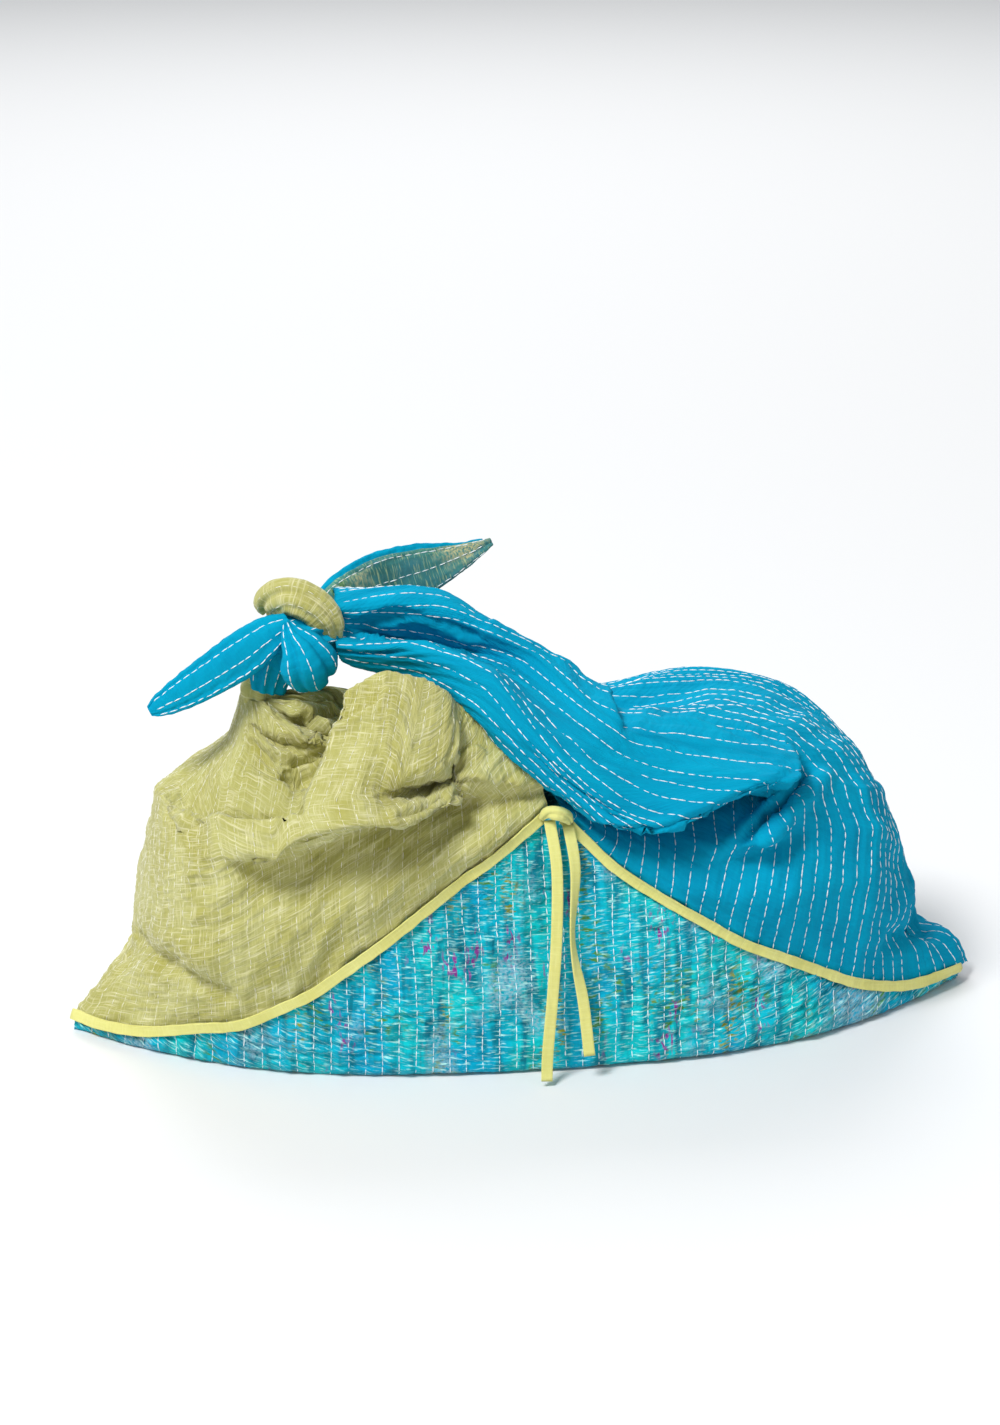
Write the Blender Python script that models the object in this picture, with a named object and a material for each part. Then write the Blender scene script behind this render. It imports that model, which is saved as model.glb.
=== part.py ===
"""Knotted clutch bag of quilted cotton, sewn from a base square and two end squares.

The base square stands on the floor with its diagonal from tip to tip, and its front and back
corners turn up as triangles.  A lime square is sewn to its two left edges and a cyan square to
its two right edges.  The free corners of both squares are drawn up, folded over the mouth and
knotted, so the cyan one becomes the strap.  A tape binds each of the four seams and two tapes
hang from the front corner.  Lengths are in millimetres until a mesh is written in metres.
"""

import math

import bmesh
import bpy
import numpy as np

MM = 0.001
CLOTH = 1.2          # thickness of a quilted panel
SEAM_GAP = 1.6       # between two pieces that are sewn together
TAPE_WIDTH = 5.5
TAPE_THICKNESS = 1.0
APEX_LEFT = 1.0      # where the left and the right tapes stop at the apex
APEX_RIGHT = 12.0
BACK_TAPE_FREE = 14.0  # the back tapes stop this short of the tips
TAPE_LIFT = 1.2      # gap between a tape and the panels that it binds
BASE_STATIONS = 29   # sections along the base square
KNOT_GAP = 0.8       # between the lime and the cyan cloth in the knot
TIP_START = 180.0    # where the base starts to draw away from its seams towards the tips
TIP_GAP = 2.0        # how far it has drawn away at a tip
KNOT_SIDES = 10      # sides of a rolled piece of cloth
TUBE_STEPS = 2       # rings from each row of its table to the next
COLUMN_STEPS = 2     # grid steps between two folds
BASE_HALF_LENGTH = 225.0
BASE_HALF_DEPTH = 81.0
BASE_OUTLINE_POWER = 3.0
FLOOR_ROUND = 7.0    # radius where the base turns up into the walls
WALL_BULGE = 2.5     # how far the walls of the base swell out halfway up

# Each row is one line of quilting, from the seam over the folds to the knot.
# The columns are the folds that it crosses; each cell is x, y, z.
COLUMNS = {
    "lime_end": ("seam", "wall", "pocket", "lip", "rim", "ledge", "crest", "lee", "pleat", "neck"),
    "cyan_end": ("seam", "wall", "groove", "roll", "pocket", "lip", "mound", "swell", "crease",
                 "strap", "grip"),
}
LIME_ROWS = {
    "front_hem": ((5, -50, 122), (3, -48, 127), (0, -42, 131), (-13, -54, 137), (-15, -50, 146),
                  (-18, -42, 154), (-26, -28, 157), (-52, -8, 152), (-88, 14, 166), (-118, 8, 167)),
    "box_fold": ((-24, -62, 104), (-25, -66, 116), (-24, -50, 127), (-33, -60, 142),
                 (-35, -56, 150), (-33, -48, 159), (-36, -36, 164), (-58, -14, 150),
                 (-92, 6, 165), (-119, 5, 167)),
    "hump_right": ((-39, -65, 95), (-41, -70, 112), (-40, -48, 129), (-50, -76, 137),
                   (-54, -56, 142), (-48, -66, 151), (-39, -41, 176), (-64, -20, 151),
                   (-94, 0, 163), (-120, 2, 167)),
    "hump_top": ((-56, -69, 83), (-58, -73, 106), (-56, -52, 127), (-66, -87, 136),
                 (-71, -68, 143), (-67, -74, 154), (-55, -40, 188), (-72, -23, 152),
                 (-97, -6, 160), (-121, 0, 167)),
    "hump_left": ((-78, -72, 67), (-80, -76, 97), (-76, -58, 124), (-86, -90, 134),
                  (-89, -82, 148), (-79, -63, 168), (-72, -40, 192), (-82, -25, 152),
                  (-101, -13, 157), (-123, -3, 167)),
    "fold_edge": ((-102, -72, 50), (-105, -76, 88), (-103, -66, 116), (-106, -89, 128),
                  (-111, -80, 138), (-98, -57, 161), (-88, -41, 182), (-93, -26, 152),
                  (-108, -17, 152), (-126, -5, 167)),
    "tuck": ((-110, -71, 44), (-113, -75, 81), (-112, -65, 111), (-116, -85, 124),
             (-116, -76, 135), (-105, -50, 130), (-99, -34, 140), (-105, -24, 146),
             (-119, -14, 150), (-128, -5, 167)),
    "ledge_right": ((-125, -68, 36), (-129, -74, 73), (-129, -67, 106), (-134, -82, 120),
                    (-132, -70, 133), (-126, -52, 126), (-119, -34, 135), (-122, -21, 143),
                    (-128, -11, 153), (-130, -4, 167)),
    "ledge_left": ((-144, -62, 26), (-147, -70, 68), (-147, -71, 101), (-151, -71, 118),
                   (-151, -61, 131), (-144, -46, 126), (-138, -24, 137), (-134, -12, 145),
                   (-133, -7, 156), (-132, -2, 167)),
    "corner": ((-163, -52, 21), (-165, -60, 57), (-166, -60, 90), (-166, -56, 112),
               (-165, -40, 128), (-158, -30, 125), (-149, -12, 135), (-140, -4, 145),
               (-136, -2, 157), (-134, 1, 167)),
    "end": ((-188, -32, 11), (-184, -35, 36), (-181, -35, 66), (-178, -34, 100),
            (-175, -22, 127), (-166, -13, 126), (-153, 2, 134), (-143, 5, 144),
            (-138, 4, 157), (-136, 4, 167)),
    "wing": ((-208, -16, 8), (-200, -15, 28), (-189, -14, 42), (-186, -15, 77),
             (-177, -11, 125), (-168, -4, 127), (-153, 6, 136), (-143, 8, 145),
             (-138, 6, 157), (-136, 6, 167)),
    "tip": ((-222, 0, 7), (-207, 0, 26), (-192, 0, 41), (-187, 0, 76),
            (-178, 0, 123), (-167, 6, 130), (-152, 10, 137), (-142, 10, 145),
            (-138, 9, 157), (-136, 8, 167)),
    "back_wing": ((-204, 18, 9), (-197, 20, 28), (-189, 22, 44), (-185, 24, 80),
                  (-174, 20, 118), (-164, 19, 128), (-151, 16, 137), (-142, 14, 145),
                  (-138, 12, 157), (-135, 10, 167)),
    "back_corner": ((-163, 52, 21), (-167, 56, 46), (-167, 56, 76), (-164, 52, 102),
                    (-156, 43, 122), (-150, 36, 130), (-143, 28, 138), (-138, 20, 146),
                    (-134, 15, 157), (-130, 13, 167)),
    "back_wall": ((-102, 72, 50), (-106, 74, 72), (-108, 72, 94), (-110, 64, 113),
                  (-112, 54, 126), (-114, 45, 133), (-117, 36, 140), (-121, 28, 147),
                  (-124, 20, 157), (-125, 15, 167)),
    "back_hem": ((5, 50, 122), (-6, 51, 125), (-17, 50, 128), (-30, 47, 132),
                 (-45, 43, 136), (-60, 38, 140), (-76, 32, 145), (-92, 26, 151),
                 (-108, 20, 160), (-120, 13, 167)),
}

CYAN_ROWS = {
    "front_hem": ((10, -50, 120), (11, -50, 122), (11, -49, 124), (9, -46, 127), (6, -42, 130),
                  (1, -38, 134), (-7, -33, 142), (-18, -26, 152), (-30, -16, 163), (-52, -4, 172),
                  (-86, 4, 183)),
    "under_roll": ((22, -53, 109), (25, -55, 110), (28, -54, 111), (29, -50, 112), (27, -45, 115),
                   (19, -61, 127), (0, -60, 140), (-17, -52, 155), (-32, -42, 171),
                   (-53, -19, 178), (-88, -5, 186)),
    "lip_left": ((38, -59, 94), (39, -61, 99), (41, -60, 104), (43, -54, 108), (44, -45, 112),
                 (35, -78, 121), (12, -70, 140), (-9, -62, 161), (-28, -47, 179), (-53, -23, 188),
                 (-90, -9, 191)),
    "lip": ((62, -64, 78), (62, -69, 90), (63, -66, 99), (65, -58, 105), (67, -44, 109),
            (63, -82, 121), (38, -77, 130), (8, -70, 154), (-20, -46, 190), (-49, -25, 197),
            (-91, -11, 196)),
    "lip_right": ((80, -64, 66), (81, -71, 84), (84, -66, 97), (88, -66, 107), (91, -48, 115),
                  (92, -81, 130), (50, -69, 140), (22, -60, 157), (-14, -30, 187), (-44, -10, 193),
                  (-91, -4, 199)),
    "roll_end": ((98, -63, 54), (100, -71, 80), (106, -62, 101), (110, -75, 115), (112, -52, 126),
                 (113, -73, 139), (62, -60, 148), (30, -53, 162), (-6, -20, 187), (-40, 1, 194),
                 (-91, 0, 202)),
    "lip_end": ((118, -60, 44), (122, -69, 80), (126, -58, 106), (124, -62, 124), (121, -51, 133),
                (123, -57, 146), (74, -50, 154), (37, -44, 165), (4, -17, 189), (-38, -6, 204),
                (-90, 0, 206)),
    "shoulder": ((141, -53, 31), (146, -60, 75), (148, -54, 106), (142, -48, 126), (134, -42, 138),
                 (122, -36, 150), (82, -28, 160), (43, -25, 165), (21, -12, 183), (-38, -5, 213),
                 (-91, -3, 211)),
    "notch": ((160, -46, 21), (165, -52, 70), (168, -46, 100), (164, -38, 118), (156, -30, 132),
              (140, -20, 147), (98, -8, 157), (50, -6, 150), (25, 0, 168), (-36, 5, 215),
              (-90, 4, 217)),
    "crown": ((185, -33, 12), (184, -30, 55), (183, -24, 85), (178, -16, 106), (168, -6, 124),
              (150, 4, 141), (112, 14, 158), (62, 14, 160), (30, 12, 160), (-36, 12, 209),
              (-90, 9, 218)),
    "wing": ((210, -18, 10), (204, -16, 26), (197, -11, 32), (195, -7, 55), (186, -1, 84),
             (168, 7, 123), (131, 21, 154), (78, 22, 162), (40, 18, 158), (-34, 14, 205),
             (-90, 11, 216)),
    "tip": ((229, 0, 7), (219, 0, 24), (204, 4, 27), (199, 6, 50), (190, 8, 80),
            (172, 14, 119), (138, 26, 151), (88, 28, 163), (45, 22, 157), (-32, 16, 198),
            (-89, 12, 214)),
    "back_wing": ((210, 18, 10), (206, 19, 26), (198, 20, 34), (195, 21, 58), (184, 23, 88),
                  (166, 27, 122), (133, 33, 151), (82, 34, 160), (40, 28, 157), (-31, 17, 192),
                  (-88, 12, 210)),
    "back_crown": ((185, 33, 12), (184, 34, 48), (181, 36, 76), (175, 38, 100), (163, 40, 120),
                   (145, 42, 136), (112, 42, 150), (72, 40, 155), (35, 32, 155), (-30, 18, 186),
                   (-88, 12, 205)),
    "back_wall": ((110, 62, 48), (112, 66, 70), (110, 66, 88), (106, 64, 104), (100, 60, 118),
                  (88, 54, 130), (70, 48, 138), (45, 42, 145), (18, 34, 152), (-34, 16, 175),
                  (-87, 10, 194)),
    "back_hem": ((10, 50, 120), (10, 49, 122), (10, 48, 125), (9, 46, 128), (7, 44, 131),
                 (3, 40, 135), (-3, 36, 140), (-11, 30, 146), (-22, 22, 155), (-48, 12, 168),
                 (-86, 8, 184)),
}

# Grid steps between each row and the next, more where the folds are tight or the rows far apart.
LIME_STEPS = (2, 2, 3, 3, 3, 3, 2, 2, 2, 1, 1, 1, 1, 2, 3, 5)
CYAN_STEPS = (1, 2, 2, 2, 2, 2, 2, 2, 1, 1, 1, 1, 2, 3, 3)

# Creases that the rows pass over: which panel, how deep, how wide, and the line of the bottom.
# A negative depth stands proud.
CREASES = (
    ("lime_end", 4.0, 6.0, ((-190, 2, 48), (-185, -22, 50), (-171, -46, 50), (-155, -59, 44),
                            (-144, -63, 38))),
    ("cyan_end", 4.0, 6.0, ((203, 8, 33), (192, -18, 36), (175, -36, 44))),
)
# Pleats that gather the lime square behind the hump: first and last row, count and height.
PLEATS = ("front_hem", "tuck", 4, 5.0)

# Pieces of the knot: each row is centre x, y, z, half width and half thickness.
LIME_CORE = ((-127, 4, 158, 7, 7), (-126, 4, 169, 10, 9), (-124, 4, 178, 8, 8),
             (-121, 5, 190, 6, 6), (-117, 6, 201, 6, 6), (-113, 6, 210, 6, 6))
LIME_WRAP = ((-122, 12, 207, 3, 3), (-121, 3, 214, 8, 5), (-113, -4, 219, 9, 6),
             (-103, -7, 216, 9, 6), (-95, -8, 208, 8, 5), (-92, -5, 199, 5, 4),
             (-93, 1, 193, 2, 2))
CYAN_WRAP = ((-90, 3, 200, 14, 10), (-99, -1, 200, 15, 12), (-110, -2, 196, 16, 13),
             (-119, 1, 188, 15, 13), (-123, 3, 179, 14, 13), (-125, 3, 171, 13, 12))
LEFT_TAIL = ((-114, -4, 208, 6, 5), (-123, -9, 203, 10, 5), (-135, -11, 194, 13, 4),
             (-150, -11, 184, 12, 3), (-165, -11, 175, 9, 2.5), (-176, -11, 169, 5, 2),
             (-180, -11, 167, 2, 1.5))
BACK_TAIL = ((-96, 14, 204, 6, 4), (-84, 22, 208, 10, 3), (-64, 33, 211, 14, 2),
             (-42, 42, 214, 12, 1.5), (-22, 49, 219, 7, 1.2), (-8, 54, 224, 2, 1))

# The wide side of each piece of the knot faces this way.
KNOT_FACING = (0.0, -1.0, 0.25)

# Tapes that hang from the front corner: the centre of each bend, and the tape's twist there in
# degrees.
LEFT_TIE = ((5, -55, 119), (7, -66, 98), (5, -79, 68), (2, -87, 41), (-1, -93, 16), (-2, -97, 3))
RIGHT_TIE = ((14, -55, 116), (16, -65, 96), (13, -77, 66), (17, -85, 38), (19, -93, 13))
LEFT_TURNS = (0, 0, 0, 0, 0, 0)
RIGHT_TURNS = (0, 20, 60, 10, 0)

COLOURS = {
    "base_panel": (0.02, 0.36, 0.44), "lime_end": (0.52, 0.56, 0.18), "cyan_end": (0.0, 0.40, 0.62),
    "binding": (0.76, 0.75, 0.24), "tie": (0.76, 0.75, 0.24),
}


def places(spans, steps):
    """Return where the samples lie, counted in intervals; steps is per interval or one for all."""
    steps = np.full(spans, steps, dtype=int) if np.isscalar(steps) else np.array(steps)
    inside = [start + np.arange(count) / count for start, count in enumerate(steps)]
    return np.append(np.concatenate(inside), spans)


def spline(points, steps):
    """Pass a Catmull-Rom curve through points (n, ..., 3) with these steps per interval."""
    points = np.asarray(points, dtype=float)
    before = 2 * points[0] - points[1]
    after = 2 * points[-1] - points[-2]
    chain = np.concatenate([before[None], points, after[None]])
    spans = len(points) - 1
    place = places(spans, steps)
    first = np.minimum(place.astype(int), spans - 1)
    t = (place - first).reshape((-1,) + (1,) * (points.ndim - 1))
    a, b, c, d = (chain[first + k] for k in range(4))
    return 0.5 * (2 * b + (c - a) * t + (2 * a - 5 * b + 4 * c - d) * t ** 2
                  + (3 * b - a - 3 * c + d) * t ** 3)


def unit(vectors):
    """Scale vectors to length one."""
    length = np.linalg.norm(vectors, axis=-1, keepdims=True)
    return vectors / np.maximum(length, 1e-9)


def grid_normals(grid):
    """Return the normal at each point of a grid (rows, columns, 3)."""
    return unit(np.cross(np.gradient(grid, axis=0), np.gradient(grid, axis=1)))


def make_object(name, vertices, faces, colour):
    """Make a mesh object, faces outward, with its own material."""
    mesh = bpy.data.meshes.new(name)
    mesh.from_pydata((np.asarray(vertices) * MM).tolist(), [], faces)
    mesh.update()
    built = bmesh.new()
    built.from_mesh(mesh)
    bmesh.ops.recalc_face_normals(built, faces=built.faces)
    built.to_mesh(mesh)
    built.free()
    thing = bpy.data.objects.new(name, mesh)
    bpy.context.scene.collection.objects.link(thing)
    material = bpy.data.materials.new(name)
    material.use_nodes = True
    shader = material.node_tree.nodes["Principled BSDF"]
    shader.inputs["Base Color"].default_value = (*colour, 1.0)
    shader.inputs["Roughness"].default_value = 0.85
    mesh.materials.append(material)
    return thing


def sheet(outer, inward):
    """Return vertices and faces of a closed sheet between a grid and its copy set inward."""
    rows, columns = outer.shape[:2]
    count = rows * columns
    index = np.arange(count).reshape(rows, columns)
    faces = []
    for r in range(rows - 1):
        for c in range(columns - 1):
            a, b, d, e = index[r, c], index[r + 1, c], index[r + 1, c + 1], index[r, c + 1]
            faces += [(a, b, d), (a, d, e)]
    faces += [tuple(count + i for i in reversed(face)) for face in faces]
    rim = [*index[0, :], *index[1:, -1], *index[-1, -2::-1], *index[-2:0:-1, 0]]
    for a, b in zip(rim, rim[1:] + rim[:1]):
        faces += [(b, a, a + count), (b, a + count, b + count)]
    vertices = np.concatenate([outer.reshape(-1, 3), inward.reshape(-1, 3)])
    return vertices, [tuple(int(i) for i in face) for face in faces]


def tube(table, sides, grow):
    """Return a closed solid lofted along a table of centres, half widths and half thicknesses."""
    rows = spline(np.array(table, dtype=float), TUBE_STEPS)
    centre = rows[:, :3]
    width, thick = rows[:, 3:4] + grow, rows[:, 4:5] + grow
    along = unit(np.gradient(centre, axis=0))
    across = unit(np.cross(along, KNOT_FACING))
    lift = unit(np.cross(across, along))
    angle = np.linspace(0, 2 * math.pi, sides, endpoint=False)
    rings = (centre[:, None] + across[:, None] * width[:, None] * np.cos(angle)[None, :, None]
             + lift[:, None] * thick[:, None] * np.sin(angle)[None, :, None])
    if grow:
        rings[0] -= along[0] * grow
        rings[-1] += along[-1] * grow
    count = len(rings)
    faces = [
        (r * sides + s, r * sides + (s + 1) % sides, (r + 1) * sides + (s + 1) % sides,
         (r + 1) * sides + s)
        for r in range(count - 1) for s in range(sides)
    ]
    faces.append(tuple(reversed(range(sides))))
    faces.append(tuple(range((count - 1) * sides, count * sides)))
    return rings.reshape(-1, 3), faces


def combine(target, other, operation):
    """Apply an exact Boolean to the target, which keeps its own material, and delete the other."""
    modifier = target.modifiers.new(operation.lower(), "BOOLEAN")
    modifier.operation = operation
    modifier.object = other
    modifier.solver = "EXACT"
    modifier.use_self = operation == "UNION"
    depsgraph = bpy.context.evaluated_depsgraph_get()
    mesh = bpy.data.meshes.new_from_object(target.evaluated_get(depsgraph))
    target.modifiers.clear()
    while len(mesh.materials) > 1:
        mesh.materials.pop()
    old = target.data
    target.data = mesh
    bpy.data.meshes.remove(old)
    bpy.data.objects.remove(other)
    keep_largest(mesh)


def keep_largest(mesh):
    """Delete every patch of faces but the largest, where a patch ends at an edge of four faces."""
    built = bmesh.new()
    built.from_mesh(mesh)
    unseen = set(built.faces)
    patches = []
    while unseen:
        stack = [unseen.pop()]
        patch = []
        while stack:
            face = stack.pop()
            patch.append(face)
            joined = [edge for edge in face.edges if len(edge.link_faces) == 2]
            near = {other for edge in joined for other in edge.link_faces} & unseen
            unseen -= near
            stack.extend(near)
        patches.append(patch)
    patches.sort(key=len)
    crumbs = [face for patch in patches[:-1] for face in patch]
    bmesh.ops.delete(built, geom=crumbs, context="FACES")
    built.to_mesh(mesh)
    built.free()


def panel_grid(table, row_steps):
    """Smooth a table of quilting rows into a grid (rows, columns, 3)."""
    net = np.array(list(table.values()), dtype=float)
    dense = spline(net, row_steps)
    return np.swapaxes(spline(np.swapaxes(dense, 0, 1), COLUMN_STEPS), 0, 1)


def tip_index(table, row_steps):
    """Return the grid row that runs from the tip of the bag."""
    return int(np.sum(row_steps[:list(table).index("tip")]))


def front_seam(table, steps=8):
    """Return the front seam of an end square as x, y, z points in order of x."""
    names = list(table)
    cells = np.array([table[name][0] for name in names[:names.index("tip") + 1]], dtype=float)
    line = spline(cells, steps)
    return line[np.argsort(line[:, 0])]


def seam_at(x, side):
    """Return points of the front (side -1) or back (side 1) seams at these values of x."""
    line = np.concatenate([front_seam(LIME_ROWS), front_seam(CYAN_ROWS)])
    y = np.interp(x, line[:, 0], line[:, 1])
    return np.stack([x, -side * y, np.interp(x, line[:, 0], line[:, 2])], axis=-1)


def crease(grid, normal, depth, width, line):
    """Push a grid inward along a line, fading out at both of the line's ends."""
    route = spline(np.array(line, dtype=float), 6)
    gap = np.linalg.norm(grid[:, :, None] - route, axis=-1)
    nearest = gap.argmin(axis=-1) / (len(route) - 1)
    fade = 1 - (2 * nearest - 1) ** 4
    amount = depth * np.exp(-(gap.min(axis=-1) / width) ** 2) * fade
    return grid - normal * amount[..., None]


def outward_normals(grid):
    """Return the grid's normals, turned away from the middle of the bag."""
    normal = grid_normals(grid)
    if np.sum(normal * (grid - grid.mean(axis=(0, 1)))) < 0:
        return -normal
    return normal


def pleated(grid):
    """Raise the pleats that run from behind the hump to the neck."""
    first, last, count, height = PLEATS
    names = list(LIME_ROWS)
    row = places(len(LIME_ROWS) - 1, LIME_STEPS)
    column = places(len(COLUMNS["lime_end"]) - 1, COLUMN_STEPS)
    start, stop = names.index(first), names.index(last)
    turn = np.clip((row - start) / (stop - start), 0, 1) * count
    ridge = (0.5 - 0.5 * np.cos(2 * math.pi * turn)) ** 1.3
    middle = COLUMNS["lime_end"].index("pleat")
    along = np.exp(-((column - middle + 0.1) / 0.75) ** 2)
    lift = unit(np.array([0.0, -0.75, 0.65]))
    return grid + ridge[:, None, None] * along[None, :, None] * lift * height


def end_panel(name, table, row_steps):
    """Make one end square as a closed sheet that starts clear of its seam."""
    outer = panel_grid(table, row_steps)
    side = np.where(np.arange(len(outer)) <= tip_index(table, row_steps), -1.0, 1.0)
    outer[:, 0] = seam_at(outer[:, 0, 0], side)
    for piece, depth, width, line in CREASES:
        if piece == name:
            outer = crease(outer, outward_normals(outer), depth, width, line)
    if name == "lime_end":
        outer = pleated(outer)
    outer[:, 0] += unit(outer[:, 1] - outer[:, 0]) * SEAM_GAP / 2
    vertices, faces = sheet(outer, outer - outward_normals(outer) * CLOTH)
    return make_object(name, vertices, faces, COLOURS[name])


def half_depth(x):
    """Return how far the base reaches from its middle line at x."""
    share = np.clip(np.abs(x) / BASE_HALF_LENGTH, 0, 1)
    return BASE_HALF_DEPTH * (1 - share ** BASE_OUTLINE_POWER)


def base_grid(x):
    """Return the base square's outer face, a section at each x from seam to seam."""
    front = seam_at(x, -1.0)
    floor_y = -half_depth(x)
    zero = np.zeros(len(x))
    turn = np.minimum(FLOOR_ROUND, np.minimum(front[:, 2], -floor_y) * 0.5)
    foot = np.stack([x, floor_y, turn], axis=-1)
    near_tip = np.clip((np.abs(x) - TIP_START) / (BASE_HALF_LENGTH - TIP_START), 0, 1)
    drop = SEAM_GAP / 2 + TIP_GAP * near_tip
    front = front + unit(foot - front) * drop[:, None]
    middle = (front + foot) / 2
    middle[:, 1] -= WALL_BULGE * np.minimum(1, front[:, 2] / 60)
    columns = [front, middle]
    for angle in (0, 45, 90):
        reach = 1 - math.cos(math.radians(angle))
        rise = 1 - math.sin(math.radians(angle))
        columns.append(np.stack([x, floor_y + turn * reach, turn * rise], axis=-1))
    for share in (0.5, 0.0):
        columns.append(np.stack([x, floor_y * share, zero], axis=-1))
    half = np.stack(columns, axis=1)
    back = half[:, -2::-1] * np.array([1, -1, 1])
    return np.concatenate([half, back], axis=1)


def base_stations():
    """Return the x of each section of the base, closer together towards the tips."""
    even = np.linspace(-1, 1, BASE_STATIONS)
    return (0.35 * np.sin(even * math.pi / 2) + 0.65 * even) * (BASE_HALF_LENGTH - 3)


def base_panel():
    """Make the base square: its floor and the two triangles that stand up from it."""
    outer = base_grid(base_stations())
    vertices, faces = sheet(outer, outer - outward_normals(outer) * CLOTH)
    return make_object("base_panel", vertices, faces, COLOURS["base_panel"])


def binding(name, table, row_steps, side, low, high):
    """Make the tape over one seam: it spans the last of the base and the first of the panel."""
    panel = panel_grid(table, row_steps)
    tip = tip_index(table, row_steps)
    rows = panel[:tip + 1] if side < 0 else panel[tip:]
    rows = rows[np.argsort(rows[:, 0, 0])]
    rise = unit(rows[:, 1] - rows[:, 0])
    x = base_stations()
    x = np.unique(np.concatenate([[max(low, x[0])], x[(x > low) & (x < high)], [min(high, x[-1])]]))
    seam = seam_at(x, side)
    up = np.stack([np.interp(x, rows[:, 0, 0], rise[:, axis]) for axis in range(3)], axis=-1)
    base = base_grid(x)
    down = unit(base[:, 1] - base[:, 0])
    down[:, 1] *= -side
    along = unit(np.gradient(seam, axis=0))
    up = unit(up - along * np.sum(up * along, axis=-1, keepdims=True))
    down = unit(down - along * np.sum(down * along, axis=-1, keepdims=True))
    out = unit(np.cross(along, up - down))
    out *= np.sign(out[:, 1:2] * side)
    reach = TAPE_WIDTH / 2
    inner = np.stack([seam + up * reach, seam, seam + down * reach], axis=1)
    inner = inner + out[:, None] * TAPE_LIFT
    vertices, faces = sheet(inner + out[:, None] * TAPE_THICKNESS, inner)
    return make_object(name, vertices, faces, COLOURS["binding"])


def tape(name, table, turns):
    """Make a hanging tape along its bends; turns are the twist at each bend, in degrees."""
    centre = spline(np.array(table, dtype=float), 4)
    twist = np.radians(spline(np.array(turns, dtype=float)[:, None], 4)[:, 0])
    along = unit(np.gradient(centre, axis=0))
    across = unit(np.cross(along, np.array([0.0, 1.0, 0.0])))
    out = np.cross(across, along)
    wide = across * np.cos(twist)[:, None] + out * np.sin(twist)[:, None]
    thin = np.cross(along, wide)
    edges = np.stack([centre - wide * TAPE_WIDTH / 2, centre + wide * TAPE_WIDTH / 2], axis=1)
    half = thin[:, None] * TAPE_THICKNESS / 2
    vertices, faces = sheet(edges + half, edges - half)
    return make_object(name, vertices, faces, COLOURS["tie"])


def knot_piece(name, table, colour, grow=0.0):
    """Make one piece of the knot, as a solid to be joined or cut."""
    vertices, faces = tube(table, KNOT_SIDES, grow)
    return make_object(name, vertices, faces, colour)


def main():
    """Build every piece of the bag."""
    for thing in list(bpy.data.objects):
        bpy.data.objects.remove(thing)
    base_panel()
    lime = end_panel("lime_end", LIME_ROWS, LIME_STEPS)
    cyan = end_panel("cyan_end", CYAN_ROWS, CYAN_STEPS)
    for name, table in (("wrap", CYAN_WRAP), ("left_tail", LEFT_TAIL), ("back_tail", BACK_TAIL)):
        combine(cyan, knot_piece(name, table, COLOURS["cyan_end"]), "UNION")
    for name, table in (("core", LIME_CORE), ("wrap", LIME_WRAP)):
        cutter = knot_piece(name, table, COLOURS["lime_end"], grow=KNOT_GAP)
        combine(cyan, cutter, "DIFFERENCE")
        combine(lime, knot_piece(name, table, COLOURS["lime_end"]), "UNION")
    tip = BASE_HALF_LENGTH
    for name, side, end in (("front", -1, tip), ("back", 1, tip - BACK_TAPE_FREE)):
        binding(f"binding_{name}_left", LIME_ROWS, LIME_STEPS, side, -end, APEX_LEFT)
        binding(f"binding_{name}_right", CYAN_ROWS, CYAN_STEPS, side, APEX_RIGHT, end)
    tape("tie_left", LEFT_TIE, LEFT_TURNS)
    tape("tie_right", RIGHT_TIE, RIGHT_TURNS)


if __name__ == "__main__":
    main()
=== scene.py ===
"""Knotted clutch bag of hand-quilted cotton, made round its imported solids.

A base square of patterned cotton stands on the floor and turns up into a front and a back
triangle.  A lime square and a cyan square are sewn to it, drawn up over the mouth and knotted, so
that the cyan one becomes the strap.  Each square is a grid of quilting rows: a row runs from the
seam, over the folds, to the knot.  The same rows place the running stitches and the puckers that
they pull into the cloth.  Lengths are in millimetres until a mesh is written in metres.
"""

import logging
import math
from collections.abc import Mapping, Sequence
from dataclasses import dataclass, field
from enum import Enum

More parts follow.
